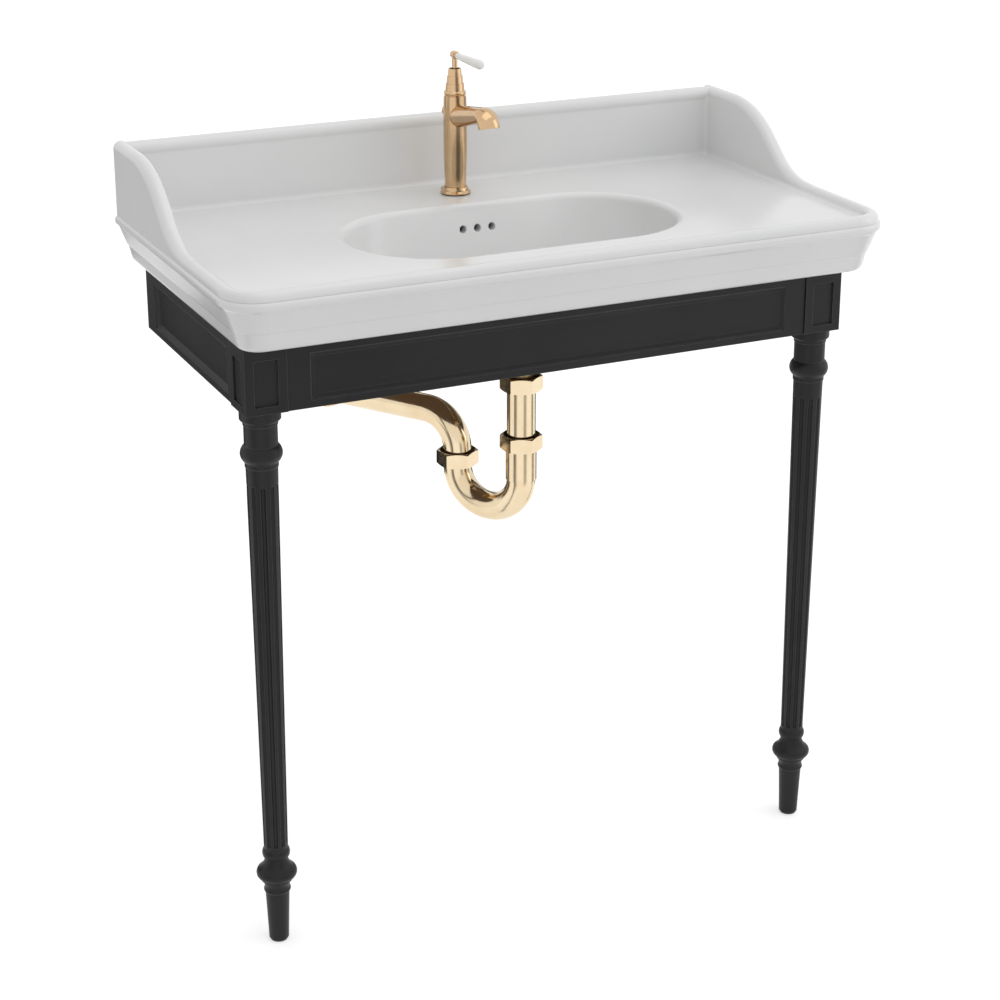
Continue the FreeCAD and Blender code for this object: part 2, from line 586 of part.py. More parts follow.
def addUpstand(body):
    """The back wall and both wings: plates under a round roll that follows the crest."""
    middle = "(halfWidth - grooveIn - rollRound)"
    back = newSketch(body, "YZ_Plane")
    drawBox(back, "wallY - backThick", "wallY", "deckUnder", "rollHeight")
    addPad(body, back, f"2 * {middle}", midplane=True)
    roll = newSketch(body, "YZ_Plane")
    drawCircle(roll, "wallY - rollRound", "rollHeight", "rollRound")
    addPad(body, roll, f"2 * {middle}", midplane=True)
    for side in (-1, 1):
        plate = newSketch(body, "YZ_Plane", f"{side} * {middle}")
        wingCurve(plate, "rollRound", closed=True)
        addPad(body, plate, "rollRound * 2", midplane=True)
        profile = newSketch(body, "XZ_Plane", "-wallY")
        drawCircle(profile, f"{side} * {middle}", "rollHeight", "rollRound")
        spine = newSketch(body, "YZ_Plane", f"{side} * {middle}")
        wingCurve(spine, "rollRound", closed=False)
        addPipe(body, profile, spine)


def bowlSection(body, length, width, height, grow):
    sketch = newSketch(body, "XY_Plane", height)
    drawOval(sketch, "0", "bowlY", f"({length} + 2 * {grow})", f"({width} + 2 * {grow})")
    return sketch


def addBowl(body, grow, drop, top, cut):
    levels = [("bowlLength", "bowlWidth", top),
              ("bowlMidLength", "bowlMidWidth", f"deckTop - bowlMidDepth - {drop}"),
              ("bowlLowLength", "bowlLowWidth", f"deckTop - bowlLowDepth - {drop}"),
              ("bowlFloorLength", "bowlFloorWidth", f"bowlFloor - {drop}")]
    addLoft(body, [bowlSection(body, *level, grow) for level in levels], cut)


def ductOutline(body, wall, foot, start):
    """The overflow duct from the side: down behind the bowl, then forward to the waste."""
    back = "(bowlBack + bowlWall + ductGap)"
    low = "(bowlY + bowlLowWidth / 2 + bowlWall + ductGap)"
    sketch = newSketch(body, "YZ_Plane")
    drawCorners(sketch, [
        ("bowlY + bowlMidWidth / 2", f"deckTop - overflowDrop + {start}"),
        (f"{back} + {wall}", f"deckTop - overflowDrop + {start}"),
        (f"{back} + {wall}", "deckTop - overflowDrop - ductDrop"),
        (f"{low} + {wall}", f"bowlUnder - {foot}"),
        ("wasteY", f"bowlUnder - {foot}"),
        ("wasteY", "bowlFloor - sealThick"),
    ])
    return sketch


def addDuct(body):
    """The overflow duct and the boss round the waste, hollow before the bowl's wall goes in."""
    addPad(body, ductOutline(body, "ductWall", "ductTall - ductWall", "overflowDrop - deckThick"),
           "ductWide", midplane=True)
    boss = newSketch(body, "XY_Plane", "bossFoot")
    drawCircle(boss, "0", "wasteY", "bossRadius")
    addPad(body, boss, "ductTall + ductWall + bowlWall / 2")
    addCut(body, ductOutline(body, "0", "ductTall", "ductHead"), "ductWide - 2 * ductWall", midplane=True)


def addBasinHoles(body):
    drillHole(body, "XY_Plane", "bowlUnder", "0", "wasteY", "wasteBore", "bowlDepth", midplane=True)
    drillHole(body, "XY_Plane", "deckTop", "0", "tapY", "tapHole / 2", "deckThick * 2", midplane=True)
    drillHole(body, "XY_Plane", "deckTop", "0", "rodY", "rodHole / 2", "deckThick * 2", midplane=True)
    for k in range(sizes["overflowCount"]):
        step = k - (sizes["overflowCount"] - 1) / 2
        drillHole(body, "XZ_Plane", "-(bowlY + bowlMidWidth / 2)", f"{step} * overflowPitch",
                  "deckTop - overflowDrop", "overflowHole / 2",
                  "(bowlWidth - bowlMidWidth) / 2 + bowlWall + ductGap / 2")
    for side in (-1, 1):
        drillHole(body, "XZ_Plane", "-wallY", f"{side} * wallHoleSpread / 2", "seatTop + wallHoleRise",
                  "wallHole / 2", "rearFlange * 2", midplane=True)


def lies(edge, level):
    box = edge.BoundBox
    return abs(box.ZMin - level) < 0.01 and abs(box.ZMax - level) < 0.01


def makeBasin():
    body = newBody("basin")
    addShell(body)
    addUpstand(body)
    addDuct(body)
    addBowl(body, "bowlWall", "bowlWall", "deckUnder", cut=False)
    addBowl(body, "0", "0", "deckTop", cut=True)
    deck = number("deckTop")
    reach, wide = number("bowlLength / 2 + bowlLip"), number("bowlWidth / 2 + bowlLip")
    bowlY = number("bowlY")

    def isLip(edge):
        box = edge.BoundBox
        outer = max(abs(box.XMin), abs(box.XMax))
        return lies(edge, deck) and outer < reach and abs(box.Center.y - bowlY) < wide

    roundEdges(body, "bowlLip", isLip)
    wall, wing = number("wallY - backThick"), number("halfWidth - grooveIn - 2 * rollRound")

    def isCove(edge):
        box = edge.BoundBox
        outer = max(abs(box.XMin), abs(box.XMax))
        if lies(edge, deck):
            return edge.Length > number("cornerRound") and outer > reach + number("bowlLip")
        upright = box.ZLength > number("upstandHeight / 2") and box.XLength + box.YLength < 0.01
        return upright and abs(outer - wing) < 0.01 and abs(box.YMin - wall) < 0.01

    roundEdges(body, "coveRound", isCove)
    addBasinHoles(body)
    return body


# Frame ---------------------------------------------------------------------------------------

def sinkPanel(body, plane, face, inward, left, right):
    """A sunk panel: a square step into the face, a narrow ledge, then a slope to the flat field."""
    def outline(depth, inset):
        sketch = newSketch(body, plane, f"{face} + {inward} * ({depth})")
        drawBox(sketch, f"{left} + {inset}", f"{right} - {inset}",
                f"legHeight + panelFoot + {inset}", f"apronTop - panelHead - {inset}")
        return sketch
    addLoft(body, [outline("0", "0"), outline("panelStep", "0")], cut=True)
    addLoft(body, [outline("panelStep", "panelLedge"), outline("panelDeep", "panelSlope")], cut=True)


def makeFrontApron():
    middle, foot, head = "apronFace + apronThick / 2", "legHeight + tenonShoulder", "apronTop - tenonShoulder"
    body = slab("front_apron", "-postInner", "postInner", "apronFace", "apronBack", "legHeight", "apronTop")
    sinkPanel(body, "XZ_Plane", "-(apronFace)", -1, "-postInner + panelEnd", "postInner - panelEnd")
    tenon = newSketch(body, "XY_Plane", foot)
    drawBox(tenon, "-postInner - tenonLong", "postInner + tenonLong",
            f"{middle} - tenonThick / 2", f"{middle} + tenonThick / 2")
    addPad(body, tenon, f"({head}) - ({foot})")
    for side in (-1, 1):
        drillHole(body, "XZ_Plane", "-(apronBack)", f"{side} * (apronSide - braceNear - braceScrewInset)",
                  "braceMiddle", "screwRadius", "braceScrewLong - braceScrewSeat", backwards=True)


def makeSideApron(side, label):
    middle = f"{side} * (apronSide + apronThick / 2)"
    foot, head = "legHeight + tenonShoulder", "apronTop - tenonShoulder"
    body = slab(label, f"{middle} - apronThick / 2", f"{middle} + apronThick / 2", "postBack", "wallY",
                "legHeight", "apronTop")
    sinkPanel(body, "YZ_Plane", f"{side} * (apronSide + apronThick)", -side,
              "postBack + panelFrontEnd", "wallY - panelRearEnd")
    tenon = newSketch(body, "XY_Plane", foot)
    drawBox(tenon, f"{middle} - tenonThick / 2", f"{middle} + tenonThick / 2",
            "postBack - tenonLong", "postBack")
    addPad(body, tenon, f"({head}) - ({foot})")
    inner = f"{side} * apronSide"
    drillHole(body, "YZ_Plane", inner, "apronBack + braceNear + braceScrewInset", "braceMiddle",
              "screwRadius", "braceScrewLong - braceScrewSeat", backwards=side > 0)
    for k in range(2):
        drillHole(body, "YZ_Plane", inner, f"railFace - bracketHoleIn - {k} * bracketHolePitch",
                  "bracketMiddle", "screwRadius", "bracketScrewLong - bracketThick", backwards=side > 0)


def makePost(side, label):
    x = f"{side} * legX"
    body = slab(label, f"{x} - postWide / 2", f"{x} + postWide / 2", "frameFront", "postBack",
                "legHeight", "apronTop")
    faces = (("XZ_Plane", "-(frameFront)", x, False), ("YZ_Plane", f"{side} * halfFrame", "legY", side < 0))
    for plane, offset, middle, backwards in faces:
        recess = newSketch(body, plane, offset)
        drawBox(recess, f"{middle} - postPanelWide / 2", f"{middle} + postPanelWide / 2",
                "legHeight + postPanelFoot", "apronTop - postPanelHead")
        addCut(body, recess, "postPanelDeep", backwards=backwards)
    slots = (("YZ_Plane", f"{side} * postInner", "apronFace + apronThick / 2", side > 0),
             ("XZ_Plane", "-(postBack)", f"{side} * (apronSide + apronThick / 2)", True))
    for plane, offset, middle, backwards in slots:
        slot = newSketch(body, plane, offset)
        drawBox(slot, f"{middle} - tenonThick / 2 - tenonClear", f"{middle} + tenonThick / 2 + tenonClear",
                "legHeight + tenonShoulder - tenonClear", "apronTop - tenonShoulder + tenonClear")
        addCut(body, slot, "tenonLong + tenonClear", backwards=backwards)
    drillHole(body, "XY_Plane", "legHeight", x, "legY", "studRadius + studBore", "studUp + studBore",
              backwards=True)


def makeRail():
    body = slab("rear_wall_rail", "-(apronSide)", "apronSide", "railFace", "wallY",
                "legHeight", "apronTop - railDrop")
    for side in (-1, 1):
        drillHole(body, "XZ_Plane", "-(wallY)", f"{side} * railHoleSpread / 2", "bracketMiddle",
                  "railHole / 2", "railThick * 2", midplane=True)
        for k in range(2):
            drillHole(body, "XZ_Plane", "-(railFace)",
                      f"{side} * (apronSide - bracketHoleIn - {k} * bracketHolePitch)", "bracketMiddle",
                      "screwRadius", "bracketScrewLong - bracketThick")


def makeBrace(side, label):
    """A block across an inner corner, screwed to both aprons through sunk holes."""
    corner = f"{side} * apronSide"
    body = newBody(label)
    sketch = newSketch(body, "XY_Plane", "braceFoot")
    drawCorners(sketch, [(f"{corner} - {side} * braceNear", "apronBack"),
                         (f"{corner} - {side} * braceFar", "apronBack"),
                         (corner, "apronBack + braceFar"), (corner, "apronBack + braceNear")])
    addPad(body, sketch, "braceTall")
    x, y = f"{corner} - {side} * (braceNear + braceScrewInset)", "apronBack + braceNear + braceScrewInset"
    drillHole(body, "XZ_Plane", "-(apronBack)", x, "braceMiddle", "screwRadius", "braceFar", midplane=True)
    drillHole(body, "XZ_Plane", "-(apronBack + braceScrewSeat)", x, "braceMiddle",
              "screwHead + screwHeadClear", "braceFar")
    drillHole(body, "YZ_Plane", corner, y, "braceMiddle", "screwRadius", "braceFar", midplane=True)
    drillHole(body, "YZ_Plane", f"{corner} - {side} * braceScrewSeat", y, "braceMiddle",
              "screwHead + screwHeadClear", "braceFar", backwards=side < 0)


def makeScrew(long, x, y, z, axis, angle):
    """A wood screw: its head stands on the given point and its shank runs along local -Z."""
    screw = turned("screw", [("0", f"-({long})"), ("screwRadius", f"-({long})"), ("screwRadius", "0"),
                             ("screwHead", "0"), ("screwHead", "screwHeadTall / 2"),
                             ("screwHead / 2", "screwHeadTall"), ("0", "screwHeadTall")], isNode=False)
    return place(screw, x, y, z, axis, angle)


def makeBraceScrews():
    inset = "(braceNear + braceScrewInset)"
    screws = []
    for side in (-1, 1):
        screws.append(makeScrew("braceScrewLong", f"{side} * (apronSide - {inset})",
                                "apronBack + braceScrewSeat", "braceMiddle", Vector(1, 0, 0), "-90"))
        screws.append(makeScrew("braceScrewLong", f"{side} * (apronSide - braceScrewSeat)",
                                f"apronBack + {inset}", "braceMiddle", Vector(0, 1, 0), f"{-side} * 90"))
    group("brace_screws", screws)


def makeBrackets():
    plates, screws = [], []
    for side in (-1, 1):
        corner = f"{side} * apronSide"
        plate = newBody("bracket", isNode=False)
        sketch = newSketch(plate, "XY_Plane", "bracketMiddle - bracketWide / 2")
        drawCorners(sketch, [(corner, "railFace"), (f"{corner} - {side} * bracketLong", "railFace"),
                             (f"{corner} - {side} * bracketLong", "railFace - bracketThick"),
                             (f"{corner} - {side} * bracketThick", "railFace - bracketThick"),
                             (f"{corner} - {side} * bracketThick", "railFace - bracketLong"),
                             (corner, "railFace - bracketLong")])
        addPad(plate, sketch, "bracketWide")
        for k in range(2):
            step = f"(bracketHoleIn + {k} * bracketHolePitch)"
            drillHole(plate, "XZ_Plane", "-(railFace)", f"{corner} - {side} * {step}", "bracketMiddle",
                      "screwRadius", "bracketThick * 2", midplane=True)
            drillHole(plate, "YZ_Plane", corner, f"railFace - {step}", "bracketMiddle",
                      "screwRadius", "bracketThick * 2", midplane=True)
            screws.append(makeScrew("bracketScrewLong", f"{corner} - {side} * {step}",
                                    "railFace - bracketThick", "bracketMiddle", Vector(1, 0, 0), "90"))
            screws.append(makeScrew("bracketScrewLong", f"{corner} - {side} * bracketThick",
                                    f"railFace - {step}", "bracketMiddle", Vector(0, 1, 0), f"{-side} * 90"))
        plates.append(plate)
    group("wall_brackets", plates)
    group("bracket_screws", screws)


def makeStrips():
    front = "apronFace + stripInset"
    strips = [slab("strip", "-postInner + stripEnd", "postInner - stripEnd", front, f"{front} + stripWide",
                   "apronTop", "seatTop", isNode=False)]
    for side in (-1, 1):
        middle = f"{side} * (apronSide + apronThick - stripInset - stripWide / 2)"
        strips.append(slab("strip", f"{middle} - stripWide / 2", f"{middle} + stripWide / 2",
                           "postBack + stripEnd", "wallY - stripEnd", "apronTop", "seatTop", isNode=False))
    group("bearing_strips", strips)


# Legs ----------------------------------------------------------------------------------------

def legOutline():
    """Half the outline of a leg, from the glide's pin hole up to the stud's hole."""
    pin, stud = "glidePin + studBore", "studRadius + studBore"
    ring = "(ankleRadius + ringProud)"
    cap = "(neckRadius + ringProud)"
    return [
        ("0", "glideThick + glidePinLong + studBore"), (pin, "glideThick + glidePinLong + studBore"),
        (pin, "glideThick"), ("footRadius", "glideThick"), ("ankleRadius", "ankleHeight"),
        (ring, "ankleHeight"), ("via", f"{ring} + ringProud", "ankleHeight + ringTall / 2"),
        (ring, "ankleHeight + ringTall"),
        ("via", "(ankleRadius + calfRadius) / 2 - calfDip", "(ankleHeight + ringTall + calfHeight) / 2"),
        ("calfRadius", "calfHeight"), ("calfRadius", "vaseFoot"), ("via", "vaseRadius", "vaseMiddle"),
        ("vaseShoulder", "vaseHead"), ("via", "vaseWaist", "vaseWaistHeight"),
        ("throatRadius", "throatHeight - throatTall"), ("throatRadius", "throatHeight"),
        ("beadNeck", "throatHeight"), ("via", "beadRadius", "throatHeight + beadTall / 2"),
        ("beadNeck", "shaftStart"), ("shaftFoot", "shaftStart"), ("shaftHead", "shaftStop"),
        ("neckRadius", "shaftStop"), ("neckRadius", "torusFoot"),
        ("via", "torusRadius", "torusFoot + torusTall / 2"), ("neckRadius", "torusTop"),
        ("neckRadius", "capFoot - capCove"), (cap, "capFoot - capCove"),
        (cap, "capFoot - capCove + capRing"),
        ("via", "(neckRadius + capRadius) / 2 - ringProud", "capFoot - (capCove - capRing) / 2"),
        ("capRadius - capEdge", "capFoot"), ("capRadius", "capFoot", "capEdge * 0.8"),
        ("capRadius", "legHeight"), (stud, "legHeight"), (stud, "legHeight - studDown - studBore"),
        ("0", "legHeight - studDown - studBore"),
    ]


def makeLeg(side, label):
    """A turned leg with round-ended flutes that follow the taper of its shaft."""
    body = turned(label, legOutline())
    place(body, f"{side} * legX", "legY")
    slant = "atan((shaftHead - shaftFoot) / (shaftStop - shaftStart))"
    sketch = newSketch(body, "XZ_Plane")
    sketch.AttachmentOffset = FreeCAD.Placement(Vector(), FreeCAD.Rotation(Vector(0, 0, 1), -number(slant)))
    bind(sketch, "AttachmentOffset.Rotation.Angle", f"-({slant})")
    bind(sketch, "AttachmentOffset.Base.x", "shaftFoot + fluteSink")
    bind(sketch, "AttachmentOffset.Base.y", "shaftStart")
    head = "shaftStop - shaftStart - fluteStop"
    drawCorners(sketch, [("0", "fluteStart"), ("fluteRadius", "fluteStart", "fluteEnd"),
                         ("fluteRadius", head, "fluteEnd"), ("0", head)])
    before = volumeOf(body)
    repeatAround(body, addTurn(body, sketch, cut=True), "fluteCount")
    if volumeOf(body) >= before:
        raise ValueError(f"{label}: the flutes cut nothing")


def makeLegFittings():
    studs, glides = [], []
    for side in (-1, 1):
        stud = rod("stud", "studRadius", "legHeight - studDown", "legHeight + studUp", isNode=False)
        studs.append(place(stud, f"{side} * legX", "legY"))
        glide = turned("glide", [("0", "0"), ("glideRadius", "0"), ("glideRadius", "glideThick"),
                                 ("glidePin", "glideThick"), ("glidePin", "glideThick + glidePinLong"),
                                 ("0", "glideThick + glidePinLong")], isNode=False)
        glides.append(place(glide, f"{side} * legX", "legY"))
    group("leg_studs", studs)
    group("foot_glides", glides)


# Tap -----------------------------------------------------------------------------------------

def atTap(thing):
    return place(thing, "0", "tapY")


def pillarSide():
    """The pillar's outside from its foot up, with a slight belly."""
    return [("tapBodyFoot", "tapFoot"), ("tapBodyFoot", "bodyStart"),
            ("via", "tapBodyBelly", "tapFoot + tapBellyRise"), ("tapBodyHead", "tapTop")]


def makeTapBody():
    """The tap's pillar with its threaded shank, bored for the cartridge and the two inlets."""
    body = atTap(turned("tap_body", [
        ("0", "deckTop - shankLong"), ("shankRadius", "deckTop - shankLong"), ("shankRadius", "tapFoot"),
        *pillarSide(), ("tapBore", "tapTop"),
        ("tapBore", "tapTop - tapBoreDeep"), ("0", "tapTop - tapBoreDeep")]))
    for side in (-1, 1):
        x = f"{side} * inletPitch / 2"
        drillHole(body, "XY_Plane", "deckTop - shankLong", x, "0", "inletRadius", "inletDeep", backwards=True)
        drillHole(body, "XY_Plane", "deckTop - shankLong", x, "0", "inletBore",
                  "shankLong + tapBodyTall - tapBoreDeep / 2", backwards=True)
    drillHole(body, "XZ_Plane", "0", "0", "spoutRoot", "spoutBore", "tapBodyHead * 2", backwards=True)


def makeTapTrim():
    bore = "tapBodyFoot + tapFlangeClear"
    atTap(turned("tap_flange", [
        (bore, "tapFoot"), ("tapFlangeRadius", "tapFoot"), ("tapFlangeRadius", "tapFoot + tapFlangeEdge / 2"),
        ("tapFlangeStep", "tapFoot + tapFlangeEdge"),
        ("via", "(tapFlangeStep + tapFlangeNeck) / 2 + ringProud / 2",
                                                       "tapFoot + (tapFlangeEdge + tapFlangeTall) / 2"),
        ("tapFlangeNeck", "tapFoot + tapFlangeTall"), (bore, "tapFoot + tapFlangeTall")]))
    atTap(turned("tap_collar", [
        ("tapBore", "tapTop"), ("ringBandSeat", "tapTop"), ("ringBandSeat", "tapTop + ringGroove"),
        ("via", "ringBandRadius", "tapTop + (ringGroove + ringBand) / 2"),
        ("ringBandSeat", "bonnetSeat"), ("tapBore", "bonnetSeat")]))
    atTap(tube("tap_gasket", "gasketRadius", "shankRadius", "deckTop", "tapFoot"))
    atTap(tube("tap_washer", "washerRadius", "shankRadius", "deckUnder - washerThick", "deckUnder"))
    atTap(hexagon("tap_nut", "tapNutRadius", "shankRadius",
                  "deckUnder - washerThick - tapNutTall", "tapNutTall"))


def makeBonnet():
    """The stepped cap over the cartridge. Each tier narrows, then steps in to the next."""
    corners = [("bonnetChamber", "bonnetSeat")]
    for k in range(sizes["bonnetTiers"]):
        radius = f"(bonnetFoot - {k} * (bonnetStep + bonnetTaper))"
        corners += [(radius, f"bonnetSeat + {k} * bonnetTall / bonnetTiers"),
                    (f"{radius} - bonnetTaper", f"bonnetSeat + {k + 1} * bonnetTall / bonnetTiers")]
    corners += [("bonnetBore", "bonnetTop"), ("bonnetBore", "bonnetTop - bonnetLip"),
                ("bonnetChamber", "bonnetTop - bonnetLip")]
    atTap(turned("tap_bonnet", corners))


def makeCartridge():
    radius, journal = "tapBore - cartridgeClear", "journalRadius + runClear"
    atTap(turned("cartridge", [
        ("0", "tapTop - tapBoreDeep"), (radius, "tapTop - tapBoreDeep"), (radius, "cartridgeTop"),
        (journal, "cartridgeTop"), (journal, "cartridgeTop - journalDeep - cartridgeGap"),
        ("0", "cartridgeTop - journalDeep - cartridgeGap")]))


def makeSpindle():
    """The part that turns with the lever: a journal below and a fork for the lever's pin above."""
    body = atTap(turned("lever_spindle", [
        ("0", "cartridgeTop - journalDeep"), ("journalRadius", "cartridgeTop - journalDeep"),
        ("journalRadius", "spindleFoot"), ("spindleRadius", "spindleFoot"),
        ("spindleRadius", "pivotZ + forkRise"), ("0", "pivotZ + forkRise")]))
    slot = newSketch(body, "XZ_Plane")
    drawBox(slot, "-(stemRadius + forkGap)", "stemRadius + forkGap", "spindleFoot + spindleTall", "bonnetTop")
    addCut(body, slot, "spindleRadius * 3", midplane=True)
    drillHole(body, "YZ_Plane", "0", "0", "pivotZ", "pinRadius", "spindleRadius * 3", midplane=True)
    half = "spindleRadius - pinInset"
    place(rod("stem_pin", "pinRadius", f"-({half})", half), "0", "tapY", "pivotZ", Vector(0, 1, 0), "90")


def makeLever():
    """The stem with its barrel hub, the ferrule and the ceramic lever that points the spout's way."""
    body = atTap(rod("lever_stem", "stemRadius", "pivotZ - stemBelow", "hubZ"))
    hub = newSketch(body, "XZ_Plane", "-hubBack")
    drawCircle(hub, "0", "hubZ", "hubRadius")
    addPad(body, hub, "hubBack + hubFront")
    rim = number("hubRadius")
    roundEdges(body, "hubRound", lambda edge: abs(edge.BoundBox.ZLength - 2 * rim) < 0.01
               and edge.BoundBox.YLength < 0.01)
    for radius, long in (("stemRadius", "ferruleStart"), ("spigotRadius", "leverStart + spigotDeep")):
        arm = newSketch(body, "XZ_Plane")
        drawCircle(arm, "0", "hubZ", radius)
        addPad(body, arm, long)
    drillHole(body, "YZ_Plane", "0", "0", "pivotZ", "pinRadius + runClear", "stemRadius * 3", midplane=True)
    ferrule = turned("lever_ferrule", [
        ("spigotRadius", "ferruleStart"), ("ferruleRadius", "ferruleStart"),
        ("ferruleRadius", "leverStart - ferruleRingLong"), ("ferruleRing", "leverStart - ferruleRingLong"),
        ("ferruleRing", "leverStart"), ("spigotRadius", "leverStart")])
    handle = turned("lever_handle", [
        ("spigotRadius", "leverStart"), ("leverRoot", "leverStart"),
        ("leverTip", "leverStart + leverLong", "leverEnd"), ("0", "leverStart + leverLong"),
        ("0", "leverStart + spigotDeep"), ("spigotRadius", "leverStart + spigotDeep")])
    for piece in (ferrule, handle):
        place(piece, "0", "tapY", "hubZ", Vector(1, 0, 0), "90")


def spoutPath(body):
    sketch = newSketch(body, "YZ_Plane")
    drawCorners(sketch, [("0", "spoutRoot"), ("-spoutReach", "spoutRoot + spoutClimb", "spoutBend"),
                         ("-spoutReach", "spoutOutlet")], closed=False)
    return sketch


def makeSpout():
    """A spout that flattens and widens to a down-turned oval mouth, trimmed to the pillar."""
    body = atTap(newBody("tap_spout"))
    root = newSketch(body, "XZ_Plane")
    drawEllipse(root, "0", "spoutRoot", "spoutRootWide", "spoutRootTall")
    tip = newSketch(body, "XY_Plane", "spoutOutlet")
    drawEllipse(tip, "0", "-spoutReach", "spoutTipWide", "spoutTipTall")
    addPipe(body, root, spoutPath(body), endProfile=tip)
    water = newSketch(body, "XZ_Plane")
    drawCircle(water, "0", "spoutRoot", "spoutBore")
    addPipe(body, water, spoutPath(body), cut=True)
    mouth = newSketch(body, "XY_Plane", "spoutOutlet")
    drawEllipse(mouth, "0", "-spoutReach", "nozzleWide", "nozzleTall")
    addCut(body, mouth, "mouthTilt + spoutSink + nozzleDeep", backwards=True)
    slant = newSketch(body, "YZ_Plane")
    drawCorners(slant, [("-spoutReach + spoutTipTall", "spoutOutlet"),
                        ("-spoutReach - spoutTipTall * 2", "spoutOutlet + mouthTilt * 3 / 2"),
                        ("-spoutReach - spoutTipTall * 2", "spoutOutlet - mouthTilt"),
                        ("-spoutReach + spoutTipTall", "spoutOutlet - mouthTilt")])
    addCut(body, slant, "spoutTipWide * 3", midplane=True)
    pillar = newSketch(body, "XZ_Plane")
    drawCorners(pillar, [("0", "tapFoot"), *pillarSide(), ("0", "tapTop")])
    addTurn(body, pillar, cut=True)
    nozzle = atTap(newBody("spout_nozzle"))
    for inset, cut in (("0", False), ("nozzleRim", True)):
        ring = newSketch(nozzle, "XY_Plane", "nozzleFoot")
        drawEllipse(ring, "0", "-spoutReach", f"(nozzleWide - {inset})", f"(nozzleTall - {inset})")
        if cut:
            addCut(nozzle, ring, "nozzleDeep", backwards=True)
        else:
            addPad(nozzle, ring, "nozzleDeep")


# Pop-up waste --------------------------------------------------------------------------------

def atRod(thing):
    return place(thing, "0", "rodY")


def makeLiftRod():
    atRod(rod("lift_rod", "rodRadius", "rodFoot", "rodTop"))
    foot, head = "rodTop - knobTall / 2", "rodTop + knobTall / 2"
    atRod(turned("lift_knob", [
        ("rodRadius", foot), ("knobFoot", foot), ("via", "knobRadius", "rodTop"), ("knobTop", head),
        ("0", head), ("0", "rodTop"), ("rodRadius", "rodTop")]))
    bore = "rodRadius + runClear"
    atRod(turned("rod_guide", [
        (bore, "deckUnder - guideBelow"), ("guideBody", "deckUnder - guideBelow"), ("guideBody", "deckTop"),
        ("guideRadius", "deckTop"), ("guideRadius", "deckTop + guideThick", "guideEdge"),
        (bore, "deckTop + guideThick")]))


def makeStrap():
    """The flat strap under the rod, with a lug on top and the pivot rod's hole below."""
    body = atRod(newBody("clevis_strap"))
    plate = newSketch(body, "XZ_Plane")
    drawBox(plate, "-strapWide / 2", "strapWide / 2", "strapZ - strapBelow", "lugFoot")
    addPad(body, plate, "strapThick", midplane=True)
    lug = newSketch(body, "XY_Plane", "lugFoot")
    drawCircle(lug, "0", "0", "lugRadius")
    addPad(body, lug, "lugTall")
    drillHole(body, "XY_Plane", "rodFoot", "0", "0", "rodRadius", "lugTall", backwards=True)
    middle = "lugFoot + lugTall / 2"
    drillHole(body, "YZ_Plane", "0", "0", middle, "thumbShank", "lugRadius * 2", backwards=True)
    drillHole(body, "XZ_Plane", "0", "0", "strapZ", "strapHole", "strapThick * 2", midplane=True)
    screw = turned("strap_thumb_screw", [
        ("0", "rodRadius"), ("thumbShank", "rodRadius"), ("thumbShank", "lugRadius"),
        ("thumbRadius", "lugRadius"), ("thumbRadius", "lugRadius + thumbThick"),
        ("0", "lugRadius + thumbThick")])
    place(screw, "0", "rodY", middle, Vector(0, 1, 0), "90")


def makePivot():
    neck = "sqrt(ballRadius^2 - pivotRadius^2)"
    arm = turned("pivot_rod", [
        ("0", "-pivotInner"), ("pivotRadius", "-pivotInner"), ("pivotRadius", f"-{neck}"),
        ("via", "ballRadius", "0"), ("pivotRadius", neck), ("pivotRadius", "pivotReach + pivotTail"),
        ("0", "pivotReach + pivotTail")])
    place(arm, "0", "pivotY", "pivotHeight", Vector(1, 0, 0), "-(90 + pivotTilt)")
    cap = "(pivotOut + ballRadius + ballClear)"
    nut = turned("pivot_nut", [
        ("portRadius", "portEnd - portNutLap"), ("portNutRadius", "portEnd - portNutLap"),
        ("portNutRadius", f"{cap} + portNutCap"), ("portNutHole", f"{cap} + portNutCap"),
        ("portNutHole", cap),
        ("ballRadius + ballClear", cap), ("ballRadius + ballClear", "portEnd"), ("portRadius", "portEnd")])
    place(nut, "0", "wasteY", "pivotHeight", Vector(1, 0, 0), "-90")


def makePlug():
    """The stopper, raised by the pivot rod through the loop at the foot of its stem."""
    stemFoot = "loopZ + plugLoop - plugStem"
    body = atWaste(turned("plug", [
        ("0", stemFoot), ("plugStem", stemFoot), ("plugStem", "plugFoot"), ("plugRadius", "plugFoot"),
        ("plugRadius", "plugFoot + plugThick", "plugEdge"), ("0", "plugFoot + plugThick + plugDome")]))
    for long, wide in (("wasteThroat - runClear", "vaneThick / 2"),
                       ("vaneThick / 2", "wasteThroat - runClear")):
        vane = newSketch(body, "XY_Plane", "plugFoot - plugSkirt")
        drawBox(vane, f"-({long})", long, f"-({wide})", wide)
        addPad(body, vane, "plugSkirt + plugThick / 4")
    loop = newSketch(body, "XZ_Plane")
    drawCircle(loop, "0", "loopZ", "plugLoop")
    addPad(body, loop, "plugLoopThick", midplane=True)
    drillHole(body, "XZ_Plane", "0", "0", "loopZ", "plugLoopHole", "plugLoop * 2", midplane=True)


# Waste and trap ------------------------------------------------------------------------------

def atWaste(thing):
    return place(thing, "0", "wasteY")


